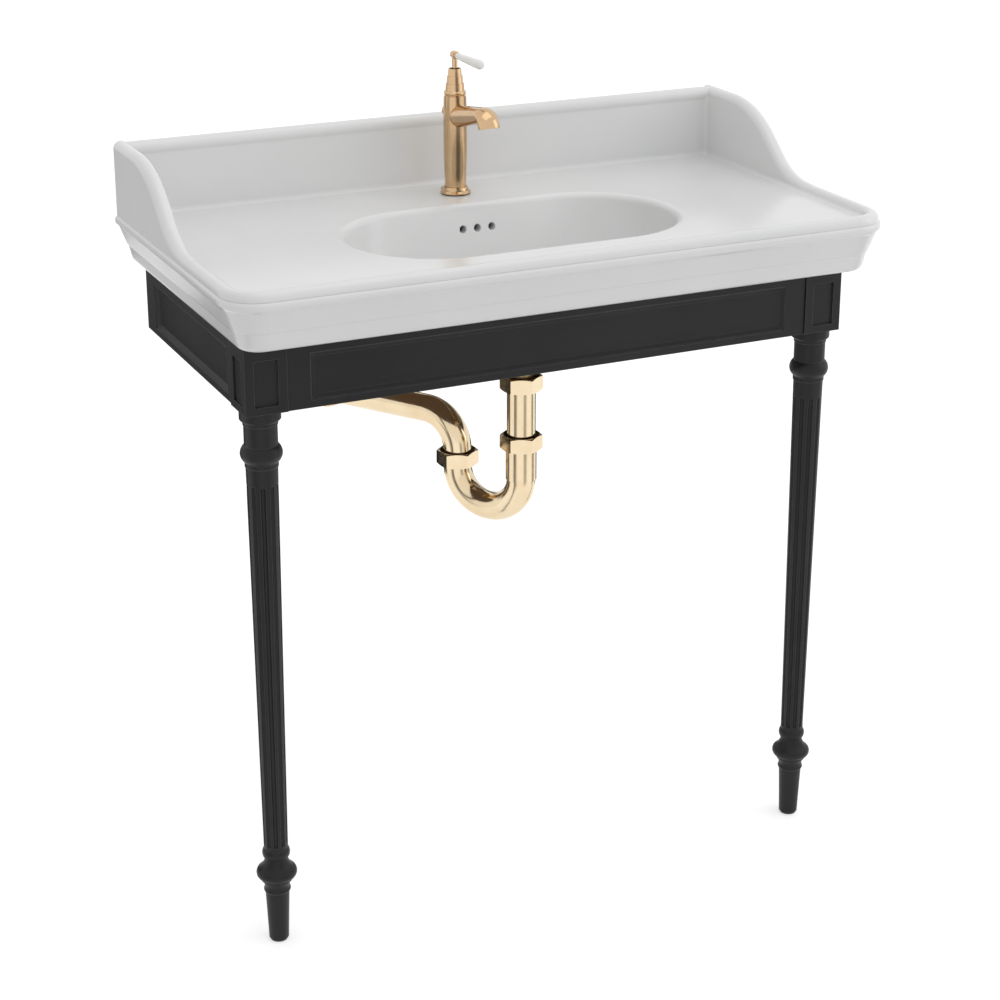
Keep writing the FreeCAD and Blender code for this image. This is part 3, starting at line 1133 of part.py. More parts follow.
def makeWaste():
    atWaste(turned("waste_flange", [
        ("wasteThroat", "flangeFoot - spigotLong"), ("wasteInner", "flangeFoot - spigotLong"),
        ("wasteInner", "flangeFoot"), ("wasteFlangeRadius", "flangeFoot"),
        ("wasteFlangeRadius", "flangeTop", "wasteFlangeEdge"), ("wasteThroat + wasteMouth", "flangeTop"),
        ("wasteThroat", "flangeTop - wasteMouth / 2")]))
    body = atWaste(rod("waste_body", "wasteRadius", "wasteFoot", "flangeFoot"))
    port = newSketch(body, "XZ_Plane")
    drawCircle(port, "0", "pivotHeight", "portRadius")
    addPad(body, port, "portEnd", backwards=True)
    drillHole(body, "XY_Plane", "flangeFoot", "0", "0", "wasteInner", "wasteLong")
    drillHole(body, "XZ_Plane", "0", "0", "pivotHeight", "portHole", "portEnd")
    drillHole(body, "XZ_Plane", "-(portEnd)", "0", "pivotHeight", "ballRadius + ballClear",
              "portEnd - (pivotOut - ballRadius - ballClear)", backwards=True)
    slots = newSketch(body, "XZ_Plane")
    drawBox(slots, "-slotWide / 2", "slotWide / 2", "bowlUnder - ductTall", "bowlUnder")
    addCut(body, slots, "wasteRadius * 3", midplane=True)
    atWaste(tube("flange_seal", "sealRadius", "wasteRadius", "bowlFloor", "flangeFoot"))
    atWaste(tube("waste_washer", "cushionRadius", "wasteRadius", "bossFoot - cushionTall", "bossFoot"))
    atWaste(hexagon("waste_nut", "backnutRadius", "wasteRadius", "bossFoot - cushionTall - backnutTall",
                    "backnutTall"))
    atWaste(turned("tailpiece", [
        ("tailInner", "tailFoot"), ("tailRadius", "tailFoot"), ("tailRadius", "wasteFoot - tailCollarTall"),
        ("wasteRadius", "wasteFoot - tailCollarTall"), ("wasteRadius", "wasteFoot"),
        ("wasteInner", "wasteFoot"),
        ("wasteInner", "wasteFoot + tailInsert"), ("tailInner", "wasteFoot + tailInsert")]))


def atTrap(thing):
    """The trap stands in one upright plane, turned from square to the wall."""
    return place(thing, "0", "wasteY", "0", Vector(0, 0, 1), "trapTurn")


def makeSlipNut(label, foot, bore, outlet):
    """A six-sided slip nut with an open recess above its seat."""
    body = hexagon(label, "nutRadius", bore, foot, "nutTall")
    drillHole(body, "XY_Plane", f"{foot} + nutTall", "0", "0", "nutRecess", "nutTall - nutSeat")
    reach = "trapSpread" if outlet else "0"
    place(body, f"-({reach}) * sin(trapTurn)", f"wasteY + ({reach}) * cos(trapTurn)", "0",
          Vector(0, 0, 1), "-nutTurn")


def bendPath(body):
    sketch = newSketch(body, "YZ_Plane")
    drawCorners(sketch, [("0", "bendEnd"), ("0", "bendHeight - bendRadius", "bendRadius"),
                         ("trapSpread", "bendHeight - bendRadius", "bendRadius"),
                         ("trapSpread", "bendEnd")], closed=False)
    return sketch


def makeBend():
    body = atTrap(newBody("trap_bend"))
    sockets = (("0", "bendNutHeight + nutSeat"), ("trapSpread", "outletNutHeight + nutSeat"))
    for radius, cut in (("trapRadius", False), ("trapInner", True)):
        profile = newSketch(body, "XY_Plane", "bendEnd")
        drawCircle(profile, "0", "0", radius)
        addPipe(body, profile, bendPath(body), cut)
        if not cut:
            for reach, head in sockets:
                socket = newSketch(body, "XY_Plane", "bendHeight")
                drawCircle(socket, "0", reach, "socketRadius")
                addPad(body, socket, f"({head}) - bendHeight")
    for reach, head in sockets:
        drillHole(body, "XY_Plane", head, "0", reach, "trapRadius + trapClear", f"({head}) - bendEnd")


def makeTrapPipes():
    inlet = tube("trap_inlet_tube", "trapRadius", "trapInner", "bendEnd + trapClear",
                 "inletNutHeight + nutSeat")
    atTrap(inlet)
    makeSlipNut("trap_inlet_nut", "inletNutHeight", "trapRadius", outlet=False)
    makeSlipNut("trap_bend_nut", "bendNutHeight", "socketRadius", outlet=False)
    makeSlipNut("trap_outlet_nut", "outletNutHeight", "socketRadius", outlet=True)
    seals = [atTrap(tube("seal", "nutRecess", "tailRadius", "inletNutHeight + nutSeat",
                         "inletNutHeight + nutSeat + sealTall", isNode=False)),
             atTrap(tube("seal", "nutRecess", "trapRadius", "bendNutHeight + nutSeat",
                         "bendNutHeight + nutSeat + sealTall", isNode=False))]
    outlet = tube("seal", "nutRecess", "trapRadius", "outletNutHeight + nutSeat",
                  "outletNutHeight + nutSeat + sealTall", isNode=False)
    seals.append(place(outlet, "-(trapSpread) * sin(trapTurn)", "wasteY + trapSpread * cos(trapTurn)"))
    group("trap_seals", seals)


def makeArm():
    """The pipe from the trap to the wall: up, over, then a gentle turn to meet the wall squarely."""
    body = atTrap(newBody("trap_arm"))
    for radius, cut in (("trapRadius", False), ("trapInner", True)):
        upright = newSketch(body, "YZ_Plane")
        drawCorners(upright, [("trapSpread", "bendEnd + trapClear"), ("trapSpread", "armHeight", "armBend"),
                              ("armSplit", "armHeight")], closed=False)
        start = newSketch(body, "XY_Plane", "bendEnd + trapClear")
        drawCircle(start, "0", "trapSpread", radius)
        addPipe(body, start, upright, cut)
        level = newSketch(body, "XY_Plane", "armHeight")
        drawCorners(level, [("0", "armSplit"), ("0", "armCorner", "armTurnRadius"),
                            ("armLast * sin(trapTurn)", "armCorner + armLast * cos(trapTurn)")], closed=False)
        split = newSketch(body, "XZ_Plane", "-(armSplit)")
        drawCircle(split, "0", "armHeight", radius)
        addPipe(body, split, level, cut)
    flange = turned("wall_flange", [
        ("trapRadius + trapClear", "0"), ("wallFlangeRadius", "0"), ("wallFlangeRadius", "wallFlangeRim"),
        ("wallFlangeNeck", "wallFlangeTall"), ("trapRadius + trapClear", "wallFlangeTall")])
    place(flange, "-(armCorner) * sin(trapTurn)", "wallY", "armHeight", Vector(1, 0, 0), "90")


def exportAll():
    failed = [thing.Label for thing in document.Objects
              if "Invalid" in thing.State or "Error" in thing.State]
    if failed:
        raise ValueError(f"failed objects: {failed}")
    for node in nodes:
        if node.Shape.isNull() or not node.Shape.isValid():
            raise ValueError(f"{node.Label} has no valid shape")
    os.makedirs("parts", exist_ok=True)
    for node in nodes:
        node.Shape.exportStep(f"parts/{node.Label}.step")
        print(node.Label, round(node.Shape.Volume), "mm3,", len(node.Shape.Solids), "solid(s)")


makeBasin()
makeFrontApron()
makeRail()
for side, word in ((-1, "left"), (1, "right")):
    makeSideApron(side, f"{word}_apron")
    makePost(side, f"{word}_post")
    makeBrace(side, f"{word}_brace")
    makeLeg(side, f"{word}_leg")
makeBraceScrews()
makeBrackets()
makeStrips()
makeLegFittings()
makeTapBody()
makeTapTrim()
makeBonnet()
makeCartridge()
makeSpindle()
makeLever()
makeSpout()
makeLiftRod()
makeStrap()
makePivot()
makePlug()
makeWaste()
makeBend()
makeTrapPipes()
makeArm()
document.recompute()
exportAll()
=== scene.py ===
import math

import bpy
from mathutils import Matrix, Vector

print("loading the packed model")
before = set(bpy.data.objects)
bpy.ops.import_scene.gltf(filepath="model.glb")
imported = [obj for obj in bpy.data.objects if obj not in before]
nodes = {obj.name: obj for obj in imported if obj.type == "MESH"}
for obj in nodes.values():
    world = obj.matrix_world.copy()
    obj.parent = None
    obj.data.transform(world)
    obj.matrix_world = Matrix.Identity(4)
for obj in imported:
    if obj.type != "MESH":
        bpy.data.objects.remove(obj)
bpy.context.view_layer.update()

noiseReach = (0.3, 0.7)    # where most of a noise's values lie


def newFinish(name, **sockets):
    # constant values sit on the shader's own sockets
    material = bpy.data.materials.new(name)
    material.use_nodes = True
    tree = material.node_tree
    shader = tree.nodes["Principled BSDF"]
    for socket, value in sockets.items():
        shader.inputs[socket].default_value = value
    return material, tree, shader


def addNode(tree, kind, inputs=None, **settings):
    # an input is a plain value or the socket that feeds it
    node = tree.nodes.new(kind)
    for setting, value in settings.items():
        setattr(node, setting, value)
    for socket, value in (inputs or {}).items():
        if isinstance(value, bpy.types.NodeSocket):
            tree.links.new(value, node.inputs[socket])
        else:
            node.inputs[socket].default_value = value
    return node


def placed(tree, stretch=(1, 1, 1)):
    # the piece's own place in metres, stretched for a grain
    place = addNode(tree, "ShaderNodeTexCoord").outputs["Object"]
    return addNode(tree, "ShaderNodeMapping", {
        "Vector": place, "Scale": stretch}).outputs["Vector"]


def noise(tree, place, scale, detail=3.0, roughness=0.5, distortion=0.0):
    return addNode(tree, "ShaderNodeTexNoise", {
        "Vector": place, "Scale": scale, "Detail": detail,
        "Roughness": roughness, "Distortion": distortion}).outputs["Fac"]


def spread(tree, value, band, to=(0.0, 1.0)):
    # a band of values turned into another
    return addNode(tree, "ShaderNodeMapRange", {
        "Value": value, "From Min": band[0], "From Max": band[1],
        "To Min": to[0], "To Max": to[1]}).outputs["Result"]


def blended(tree, share, first, second):
    # sockets 6 and 7 of a Mix node take its two colours, and output 2 gives the mix
    inputs = {"Factor": share}
    for index, colour in ((6, first), (7, second)):
        inputs[index] = (*colour, 1) if isinstance(colour, tuple) else colour
    return addNode(tree, "ShaderNodeMix", inputs, data_type="RGBA").outputs[2]


def maths(tree, operation, first, second=0.0):
    return addNode(tree, "ShaderNodeMath", {
        0: first, 1: second}, operation=operation).outputs["Value"]


def axisOf(tree, vector, axis):
    return addNode(tree, "ShaderNodeSeparateXYZ", {0: vector}).outputs[axis]


def trueNormal(tree):
    return addNode(tree, "ShaderNodeNewGeometry").outputs["Normal"]


def softened(tree, width, samples):
    # the normal that the surface would have with its edges rounded
    return addNode(tree, "ShaderNodeBevel", {"Radius": width}, samples=samples).outputs["Normal"]


def edgeMask(tree, soft, band):
    # how far the surface turns towards an edge: 0 on a flat, 1 on an arris
    turn = addNode(tree, "ShaderNodeVectorMath", {
        0: soft, 1: trueNormal(tree)}, operation="DOT_PRODUCT").outputs["Value"]
    return spread(tree, turn, band)


def paint(tree, shader, colour, roughness):
    tree.links.new(colour, shader.inputs["Base Color"])
    tree.links.new(roughness, shader.inputs["Roughness"])


def bumped(tree, shader, height, strength, depth, below=None):
    # fine relief, over a softened normal where one is given
    inputs = {"Strength": strength, "Distance": depth, "Height": height}
    if below is not None:
        inputs["Normal"] = below
    relief = addNode(tree, "ShaderNodeBump", inputs)
    tree.links.new(relief.outputs["Normal"], shader.inputs["Normal"])


# vitreous china: a thick glaze that is left off where the basin sits on the frame
chinaLook = {
    "gloss": {"IOR": 1.5, "Specular IOR Level": 0.5, "Coat Weight": 0.08, "Coat Roughness": 0.10},
    "glaze": (0.765, 0.767, 0.764),
    "glazeShade": (0.738, 0.742, 0.742),
    "clouds": {"scale": 7.0, "detail": 4.0, "roughness": 0.55},
    "cloudBand": (0.35, 0.7),
    "speck": (0.52, 0.50, 0.46),
    "speckScale": 34.0,
    "speckBand": (0.018, 0.006),
    "speckShare": 0.55,
    "bisque": (0.62, 0.60, 0.55),
    "bisqueHeight": (0.8149, 0.8137),    # metres above the floor
    "bisqueFacing": (-0.6, -0.9),        # only faces that look down
    "bisqueRough": 0.75,
    "smear": {"scale": 26.0, "detail": 2.0},
    "roughness": (0.15, 0.20),
    "pool": 0.0028,                      # how far the glaze rounds an edge
    "poolSamples": 8,
    "peel": {"scale": 210.0, "detail": 1.0},
    "peelStrength": 0.12,
    "peelDepth": 0.00012,
}


def glazedChina():
    look = chinaLook
    finish, tree, shader = newFinish("glazedChina", **look["gloss"])
    place = placed(tree)
    clouds = spread(tree, noise(tree, place, **look["clouds"]), look["cloudBand"])
    body = blended(tree, clouds, look["glaze"], look["glazeShade"])
    # a few pin specks deep in the glaze
    grit = addNode(tree, "ShaderNodeTexVoronoi", {
        "Vector": place, "Scale": look["speckScale"]}).outputs["Distance"]
    pins = spread(tree, grit, look["speckBand"], (0.0, look["speckShare"]))
    body = blended(tree, pins, body, look["speck"])
    # the seat under the skirt
    low = spread(tree, axisOf(tree, place, "Z"), look["bisqueHeight"])
    down = spread(tree, axisOf(tree, trueNormal(tree), "Z"), look["bisqueFacing"])
    bare = maths(tree, "MULTIPLY", low, down)
    smear = spread(tree, noise(tree, place, **look["smear"]), noiseReach, look["roughness"])
    bareRough = maths(tree, "MULTIPLY", bare, look["bisqueRough"])
    paint(tree, shader, blended(tree, bare, body, look["bisque"]),
          maths(tree, "MAXIMUM", smear, bareRough))
    peel = noise(tree, place, **look["peel"])
    pooled = softened(tree, look["pool"], look["poolSamples"])
    bumped(tree, shader, peel, look["peelStrength"], look["peelDepth"], pooled)
    return finish


# black lacquer over timber, rubbed pale on the arrises with a painted highlight there, and painted
# shade in the joints
lacquerLook = {
    "gloss": {"IOR": 1.5, "Specular IOR Level": 0.28, "Coat Weight": 0.05, "Coat Roughness": 0.30},
    "black": (0.0085, 0.0085, 0.0088),
    "sanded": (0.0130, 0.0130, 0.0134),
    "rub": {"scale": 9.0, "detail": 4.0, "roughness": 0.6},
    "rubBand": (0.42, 0.75),
    # the pale of the arrises: partly wear, partly a painted highlight
    "wearAndHighlight": (0.085, 0.085, 0.087),
    "arris": 0.0017,
    "arrisSamples": 6,
    "arrisBand": (0.995, 0.86),
    "edgeBreakup": {"scale": 60.0},
    "edgeBreakupShare": (0.6, 1.0),
    # the colour of the painted shade in the joints and quirks
    "paintedShade": (0.0025, 0.0025, 0.0026),
    "crevice": 0.010,
    "creviceSamples": 8,
    "creviceBand": (0.72, 0.40),
    "creviceRough": 0.9,
    "satin": {"scale": 30.0},
    "roughness": (0.40, 0.52),
    "grainStretch": 0.045,
    "grain": {"scale": 184.0, "detail": 5.0, "roughness": 0.62, "distortion": 0.4},
    "grainStrength": 0.22,
    "grainDepth": 0.00016,
}


def blackLacquer(name, along):
    # along is the way the grain runs: 0 for X, 1 for Y and 2 for Z
    look = lacquerLook
    finish, tree, shader = newFinish(name, **look["gloss"])
    stretch = [1.0, 1.0, 1.0]
    stretch[along] = look["grainStretch"]
    grainPlace = placed(tree, stretch)
    place = placed(tree)
    rub = spread(tree, noise(tree, place, **look["rub"]), look["rubBand"])
    colour = blended(tree, rub, look["black"], look["sanded"])
    # the arrises are paled in broken lines, partly wear and partly a painted highlight where the
    # rounded edges catch the light
    edge = edgeMask(tree, softened(tree, look["arris"], look["arrisSamples"]), look["arrisBand"])
    edgeBreakup = spread(tree, noise(tree, place, **look["edgeBreakup"]), noiseReach, look["edgeBreakupShare"])
    colour = blended(tree, maths(tree, "MULTIPLY", edge, edgeBreakup), colour, look["wearAndHighlight"])
    # painted shade: the joints and quirks are darkened by an occlusion mask, which also raises
    # their roughness
    openness = addNode(tree, "ShaderNodeAmbientOcclusion", {
        "Distance": look["crevice"]}, samples=look["creviceSamples"]).outputs["AO"]
    paintedShade = spread(tree, openness, look["creviceBand"])
    satin = spread(tree, noise(tree, grainPlace, **look["satin"]), noiseReach, look["roughness"])
    paintedShadeRough = maths(tree, "MULTIPLY", paintedShade, look["creviceRough"])
    paint(tree, shader, blended(tree, paintedShade, colour, look["paintedShade"]),
          maths(tree, "MAXIMUM", satin, paintedShadeRough))
    grain = noise(tree, grainPlace, **look["grain"])
    eased = softened(tree, look["arris"], look["arrisSamples"])
    bumped(tree, shader, grain, look["grainStrength"], look["grainDepth"], eased)
    return finish


# polished golds of the tap and of the waste and trap
tapLook = {
    "gold": (0.67, 0.460, 0.268),
    "deepGold": (0.57, 0.380, 0.212),
    "roughness": (0.11, 0.19),
}

drainLook = {
    "gold": (0.83, 0.685, 0.472),
    "deepGold": (0.77, 0.600, 0.390),
    "roughness": (0.12, 0.20),
}

polishLook = {
    "tarnish": {"scale": 24.0, "detail": 4.0, "roughness": 0.6},
    "tarnishBand": (0.38, 0.72),
    "smear": {"scale": 60.0, "roughness": 0.6, "distortion": 0.6},
    "smearBand": (0.3, 0.72),
    "brushStretch": (1, 1, 26),
    "brush": {"scale": 120.0, "roughness": 0.7},
    "brushStrength": 0.10,
    "brushDepth": 0.00004,
}


def polishedGold(name, look):
    polish = polishLook
    finish, tree, shader = newFinish(name, Metallic=1.0)
    place = placed(tree)
    tarnish = spread(tree, noise(tree, place, **polish["tarnish"]), polish["tarnishBand"])
    smear = noise(tree, place, **polish["smear"])
    paint(tree, shader, blended(tree, tarnish, look["gold"], look["deepGold"]),
          spread(tree, smear, polish["smearBand"], look["roughness"]))
    brush = noise(tree, placed(tree, polish["brushStretch"]), **polish["brush"])
    bumped(tree, shader, brush, polish["brushStrength"], polish["brushDepth"])
    return finish


# metals that are left bare under the deck and in the frame
bareLook = {
    "brass": {"pale": (0.66, 0.49, 0.23), "dull": (0.50, 0.34, 0.15), "roughness": (0.24, 0.42)},
    "zinc": {"pale": (0.62, 0.64, 0.66), "dull": (0.44, 0.46, 0.49), "roughness": (0.28, 0.50)},
}

filmLook = {
    "film": {"scale": 45.0, "detail": 5.0, "roughness": 0.65},
    "filmBand": (0.36, 0.7),
    "sheenBand": (0.3, 0.75),
    "crystalScale": 420.0,
    "crystalShare": (0.0, 0.25),
    "pits": {"scale": 700.0},
    "pitStrength": 0.25,
    "pitDepth": 0.00006,
}


def bareMetal(name, look):
    skin = filmLook
    finish, tree, shader = newFinish(name, Metallic=1.0)
    place = placed(tree)
    film = noise(tree, place, **skin["film"])
    mottle = blended(tree, spread(tree, film, skin["filmBand"]), look["pale"], look["dull"])
    flake = addNode(tree, "ShaderNodeTexVoronoi", {
        "Vector": place, "Scale": skin["crystalScale"]}).outputs["Color"]
    grey = addNode(tree, "ShaderNodeSeparateColor", {0: flake}).outputs[0]
    crystal = spread(tree, grey, (0, 1), skin["crystalShare"])
    paint(tree, shader, blended(tree, crystal, mottle, look["dull"]),
          spread(tree, film, skin["sheenBand"], look["roughness"]))
    bumped(tree, shader, noise(tree, place, **skin["pits"]), skin["pitStrength"], skin["pitDepth"])
    return finish


# rubber seals, nylon feet and the cartridge
mouldedLook = {
    "rubber": {
        "tone": (0.018, 0.018, 0.019), "dust": (0.060, 0.058, 0.055), "roughness": (0.55, 0.78),
        "grain": {"scale": 900.0, "detail": 2.0}, "grainDepth": 0.00010},
    "nylon": {
        "tone": (0.030, 0.030, 0.031), "dust": (0.052, 0.052, 0.053), "roughness": (0.38, 0.55),
        "grain": {"scale": 620.0, "detail": 2.0}, "grainDepth": 0.00006},
    "cartridge": {
        "tone": (0.55, 0.53, 0.48), "dust": (0.44, 0.42, 0.37), "roughness": (0.32, 0.50),
        "grain": {"scale": 500.0, "detail": 2.0}, "grainDepth": 0.00005},
}

bloomLook = {
    "gloss": {"IOR": 1.5},
    "bloom": {"scale": 38.0, "detail": 4.0, "roughness": 0.6},
    "bloomBand": (0.4, 0.78),
    "sheenBand": (0.3, 0.75),
    "grainStrength": 0.3,
}


def moulded(name, look):
    skin = bloomLook
    finish, tree, shader = newFinish(name, **skin["gloss"])
    place = placed(tree)
    bloom = noise(tree, place, **skin["bloom"])
    dusty = spread(tree, bloom, skin["bloomBand"])
    paint(tree, shader, blended(tree, dusty, look["tone"], look["dust"]),
          spread(tree, bloom, skin["sheenBand"], look["roughness"]))
    grain = noise(tree, place, **look["grain"])
    bumped(tree, shader, grain, skin["grainStrength"], look["grainDepth"])
    return finish


# the white ceramic of the lever
leverLook = {
    "gloss": {"IOR": 1.52, "Coat Weight": 0.5, "Coat Roughness": 0.03},
    "white": (0.82, 0.815, 0.79),
    "cream": (0.77, 0.76, 0.72),
    "clouds": {"scale": 48.0},
    "cloudBand": (0.35, 0.7),
    "smear": {"scale": 90.0},
    "roughness": (0.06, 0.13),
    "peel": {"scale": 500.0, "detail": 1.0},
    "peelStrength": 0.08,
    "peelDepth": 0.00005,
}


def leverCeramic():
    look = leverLook
    finish, tree, shader = newFinish("leverCeramic", **look["gloss"])
    place = placed(tree)
    clouds = spread(tree, noise(tree, place, **look["clouds"]), look["cloudBand"])
    smear = noise(tree, place, **look["smear"])
    paint(tree, shader, blended(tree, clouds, look["white"], look["cream"]),
          spread(tree, smear, noiseReach, look["roughness"]))
    peel = noise(tree, place, **look["peel"])
    bumped(tree, shader, peel, look["peelStrength"], look["peelDepth"])
    return finish


print("mixing the finishes")
finishes = {
    "china": glazedChina(),
    "lacquerX": blackLacquer("blackLacquerAcross", 0),
    "lacquerY": blackLacquer("blackLacquerDeep", 1),
    "lacquerZ": blackLacquer("blackLacquerUpright", 2),
    "tapGold": polishedGold("roseGoldTap", tapLook),
    "drainGold": polishedGold("champagneDrain", drainLook),
    "brass": bareMetal("bareBrass", bareLook["brass"]),
    "zinc": bareMetal("zincSteel", bareLook["zinc"]),
    "rubber": moulded("blackRubber", mouldedLook["rubber"]),
    "nylon": moulded("blackNylon", mouldedLook["nylon"]),
    "cartridge": moulded("cartridgeBody", mouldedLook["cartridge"]),
    "lever": leverCeramic(),
}

finishOfSlot = {
    "china": "china", "black_lacquer": "lacquerZ", "tap_metal": "tapGold",
    "drain_metal": "drainGold", "bare_brass": "brass", "zinc_steel": "zinc",
    "rubber": "rubber", "lever_ceramic": "lever", "dark_plastic": "nylon",
    "cartridge_body": "cartridge",
}

# timber whose grain doesn't run upright
grainOfNode = {
    "front_apron": "lacquerX", "rear_wall_rail": "lacquerX",
    "left_apron": "lacquerY", "right_apron": "lacquerY",
    "left_brace": "lacquerX", "right_brace": "lacquerX",
}


def dressNodes():
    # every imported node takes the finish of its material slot
    for name, piece in nodes.items():
        for index, material in enumerate(piece.data.materials):
            slotName = material.name.split(".")[0] if material else ""
            key = grainOfNode.get(name) or finishOfSlot.get(slotName)
            if key is None:
                raise RuntimeError(f"{name} has a material named {slotName}")
            piece.data.materials[index] = finishes[key]


print("dressing the pieces")
dressNodes()


# the floor and the world are white where they are seen or mirrored
studioLook = {
    "floorTone": 0.80,
    "floorFleck": 0.985,
    "floorSpeck": {"scale": 300.0, "detail": 2.0},
    "floorRough": 0.9,
    "floorGlow": 0.45,
    "floorHalf": 14.0,
    "fillLeft": 0.60,     # the fill comes a little stronger from the right
    "fillRight": 1.04,
}


def seenOrMirrored(tree):
    # 1 for what the camera, gloss and glass see, 0 for light that only falls on the object
    rays = addNode(tree, "ShaderNodeLightPath").outputs
    seen = maths(tree, "MAXIMUM", rays["Is Camera Ray"], rays["Is Glossy Ray"])
    return maths(tree, "MAXIMUM", seen, rays["Is Transmission Ray"])


def addSheet(name, corners, finish, glossOnly=False):
    # a flat stage sheet with four corners
    mesh = bpy.data.meshes.new(name)
    mesh.from_pydata(corners, [], [(0, 1, 2, 3)])
    mesh.materials.append(finish)
    sheet = bpy.data.objects.new(name, mesh)
    if glossOnly:
        sheet.visible_camera = sheet.visible_diffuse = sheet.visible_shadow = False
    bpy.context.scene.collection.objects.link(sheet)
    return sheet


def whiteFloor():
    # it still keeps the shadow
    look = studioLook
    finish, tree, shader = newFinish("paleFloor", Roughness=look["floorRough"])
    tone = look["floorTone"]
    speck = spread(tree, noise(tree, placed(tree), **look["floorSpeck"]), noiseReach)
    flecked = blended(tree, speck, (tone,) * 3, (tone * look["floorFleck"],) * 3)
    tree.links.new(flecked, shader.inputs["Base Color"])
    strength = maths(tree, "MULTIPLY", seenOrMirrored(tree), look["floorGlow"])
    glow = addNode(tree, "ShaderNodeEmission", {"Color": (1, 1, 1, 1), "Strength": strength})
    both = addNode(tree, "ShaderNodeAddShader", {
        0: shader.outputs["BSDF"], 1: glow.outputs["Emission"]})
    output = next(node for node in tree.nodes if node.type == "OUTPUT_MATERIAL")
    tree.links.new(both.outputs[0], output.inputs["Surface"])
    half = look["floorHalf"]
    addSheet("paleFloor", [
        (-half, -half, 0), (half, -half, 0), (half, half, 0), (-half, half, 0)], finish)


def whiteWorld():
    world = bpy.data.worlds.new("studio")
    bpy.context.scene.world = world
    world.use_nodes = True
    tree = world.node_tree
    back = tree.nodes["Background"]
    back.inputs["Color"].default_value = (1, 1, 1, 1)
    ways = addNode(tree, "ShaderNodeTexCoord").outputs["Generated"]
    fill = spread(tree, axisOf(tree, ways, "X"), (-1, 1),
                  (studioLook["fillLeft"], studioLook["fillRight"]))
    # socket 0 is the share, 2 the fill and 3 the plain white
    level = addNode(tree, "ShaderNodeMix", {
        0: seenOrMirrored(tree), 2: fill, 3: 1.0}, data_type="FLOAT")
    tree.links.new(level.outputs[0], back.inputs["Strength"])


# two wide soft lamps
lampLook = {
    "top": {"at": (0.2, -0.4, 3.2), "size": (2.4, 1.6), "power": 7.0},
    "side": {"at": (2.4, -1.2, 1.6), "size": (1.2, 2.0), "power": 6.0},
}
lampAim = (0, 0, 0.75)


def addLamp(name, look):
    light = bpy.data.lights.new(name, "AREA")
    light.shape = "RECTANGLE"
    light.size, light.size_y = look["size"]
    light.energy = look["power"]
    lamp = bpy.data.objects.new(name, light)
    lamp.location = look["at"]
    lamp.rotation_mode = "QUATERNION"
    lamp.rotation_quaternion = (Vector(lampAim) - lamp.location).to_track_quat("-Z", "Y")
    bpy.context.scene.collection.objects.link(lamp)


# dark cards that only gloss can see stand about the waste, for contrast on metal and lacquer:
# bearing in degrees, width, height of foot and top, and how dense the cloth is
flagLook = {
    "stripe": {"bearing": -86.0, "width": 0.62, "foot": 0.01, "top": 0.60, "dense": 0.60},
    "leftSoft": {"bearing": -160.0, "width": 0.70, "foot": 0.01, "top": 0.50, "dense": 0.70},
    "rightSoft": {"bearing": -22.0, "width": 0.60, "foot": 0.01, "top": 0.50, "dense": 0.62},
    "rightRear": {"bearing": 36.0, "width": 0.95, "foot": 0.01, "top": 0.36, "dense": 1.0},
    "rear": {"bearing": 68.0, "width": 0.95, "foot": 0.01, "top": 0.36, "dense": 1.0},
    "leftRear": {"bearing": 100.0, "width": 0.95, "foot": 0.01, "top": 0.36, "dense": 1.0},
    "leftEnd": {"bearing": 131.0, "width": 0.95, "foot": 0.01, "top": 0.62, "dense": 1.0},
    "leftHigh": {"bearing": 124.0, "width": 1.05, "foot": 0.50, "top": 0.92, "dense": 0.62},
    "rearHigh": {"bearing": 66.0, "width": 1.50, "foot": 0.64, "top": 1.12, "dense": 0.9},
}
flagStand = {"centre": (0, 0), "away": 1.2}

# a small card before the tap
tapFlag = {"bearing": -88.0, "width": 0.085, "foot": 0.885, "top": 1.070, "dense": 0.72}
tapFlagStand = {"centre": (0.0, 0.151), "away": 0.085}

# a brown card that lies flat under the basin, seen only in gloss: a painted shade that darkens
# what the waste mirrors of the basin's underside
underFlag = {
    "tone": (0.145, 0.100, 0.070),
    "left": -0.34, "right": 0.12, "front": -0.115, "back": 0.205, "height": 0.722,
}

clothLook = {
    "gloss": {"Roughness": 0.9, "Specular IOR Level": 0.0},
    "tone": (0.02, 0.02, 0.02),
    "softSide": 0.30,    # shares of the card's width and height
    "softTop": 0.12,
}


def plainCloth(name, tone):
    finish, tree, shader = newFinish(name, **clothLook["gloss"])
    shader.inputs["Base Color"].default_value = (*tone, 1)
    return finish, tree, shader


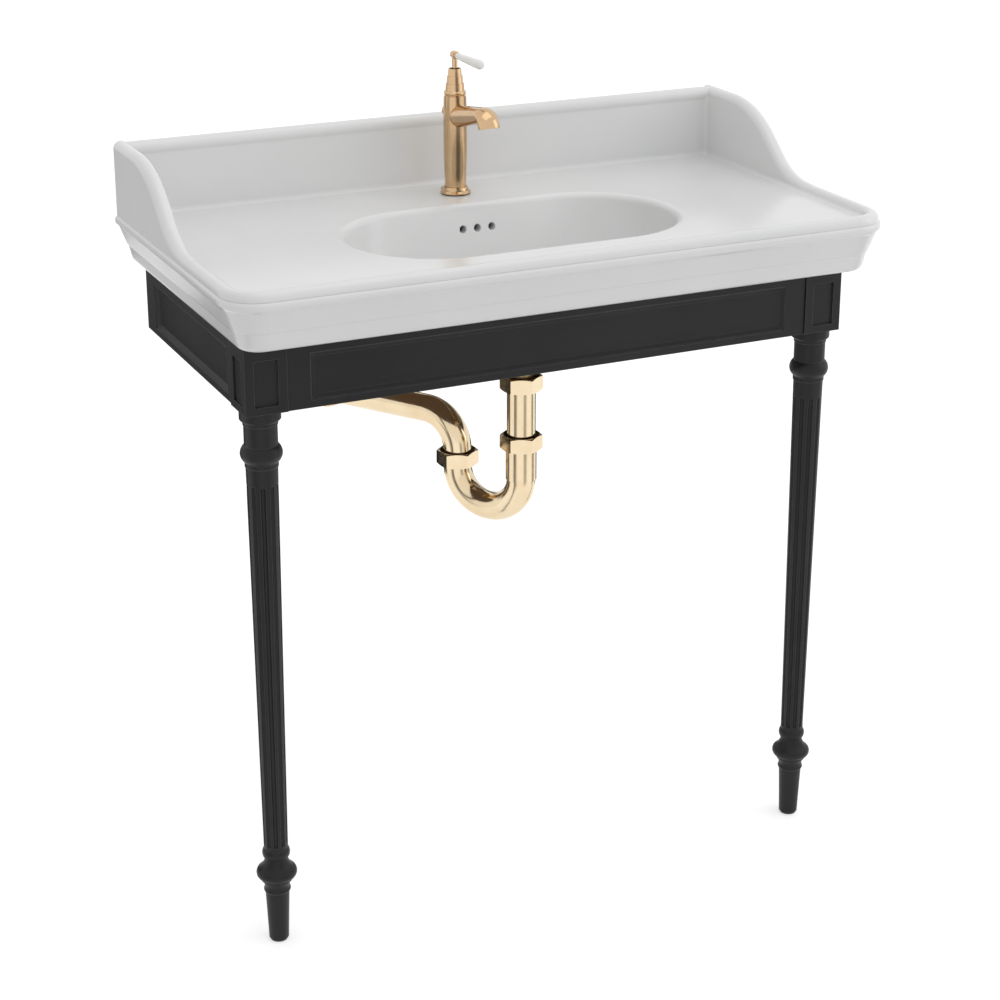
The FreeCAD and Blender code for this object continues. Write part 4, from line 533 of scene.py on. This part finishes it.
def flagCloth(dense):
    # a dark cloth that thins out towards its edges and is clear from outside
    look = clothLook
    finish, tree, shader = plainCloth("flagCloth", look["tone"])
    across = addNode(tree, "ShaderNodeSeparateXYZ", {
        0: addNode(tree, "ShaderNodeTexCoord").outputs["Generated"]}).outputs
    middle = maths(tree, "ABSOLUTE", maths(tree, "SUBTRACT", across["Y"], 0.5))
    sides = spread(tree, middle, (0.5, 0.5 - look["softSide"]))
    head = spread(tree, across["Z"], (1.0, 1.0 - look["softTop"]))
    inner = addNode(tree, "ShaderNodeNewGeometry").outputs["Backfacing"]
    cover = maths(tree, "MULTIPLY", maths(tree, "MULTIPLY", sides, head), dense)
    tree.links.new(maths(tree, "MULTIPLY", cover, inner), shader.inputs["Alpha"])
    return finish


def addStandingFlag(name, look, stand):
    half, foot, top = look["width"] / 2, look["foot"], look["top"]
    flag = addSheet(name, [
        (0, -half, foot), (0, half, foot), (0, half, top), (0, -half, top)],
        flagCloth(look["dense"]), glossOnly=True)
    bearing = math.radians(look["bearing"])
    centreX, centreY = stand["centre"]
    away = stand["away"]
    flag.location = (centreX + away * math.cos(bearing), centreY + away * math.sin(bearing), 0)
    flag.rotation_euler = (0, 0, bearing)


def addUnderFlag():
    look = underFlag
    height = look["height"]
    corners = [(look[side], look[end], height) for side, end in (
        ("left", "front"), ("right", "front"), ("right", "back"), ("left", "back"))]
    # the card's brown is a painted shade, seen only in the reflections of the waste
    finish = plainCloth("underShadeCloth", look["tone"])[0]
    addSheet("under", corners, finish, glossOnly=True)


def addFlags():
    for name, look in flagLook.items():
        addStandingFlag(name, look, flagStand)
    addStandingFlag("tapFlag", tapFlag, tapFlagStand)
    addUnderFlag()


cameraLook = {
    "at": (-1.2043, -2.5532, 1.6157),
    "turn": 25.170,    # degrees from straight back towards the right
    "drop": 19.074,    # degrees below level
    "lens": 80.68,
    "sensor": 36.0,
    "shiftY": -0.10,
}


def addCamera():
    look = cameraLook
    data = bpy.data.cameras.new("photoCamera")
    data.sensor_width = look["sensor"]
    data.lens = look["lens"]
    data.shift_y = look["shiftY"]
    camera = bpy.data.objects.new("photoCamera", data)
    camera.location = look["at"]
    camera.rotation_euler = (math.radians(90 - look["drop"]), 0, -math.radians(look["turn"]))
    bpy.context.scene.collection.objects.link(camera)
    bpy.context.scene.camera = camera


print("setting the studio")
whiteFloor()
whiteWorld()
for lampName, lampSettings in lampLook.items():
    addLamp(lampName, lampSettings)
addFlags()
addCamera()
bpy.context.scene.view_settings.view_transform = "Standard"
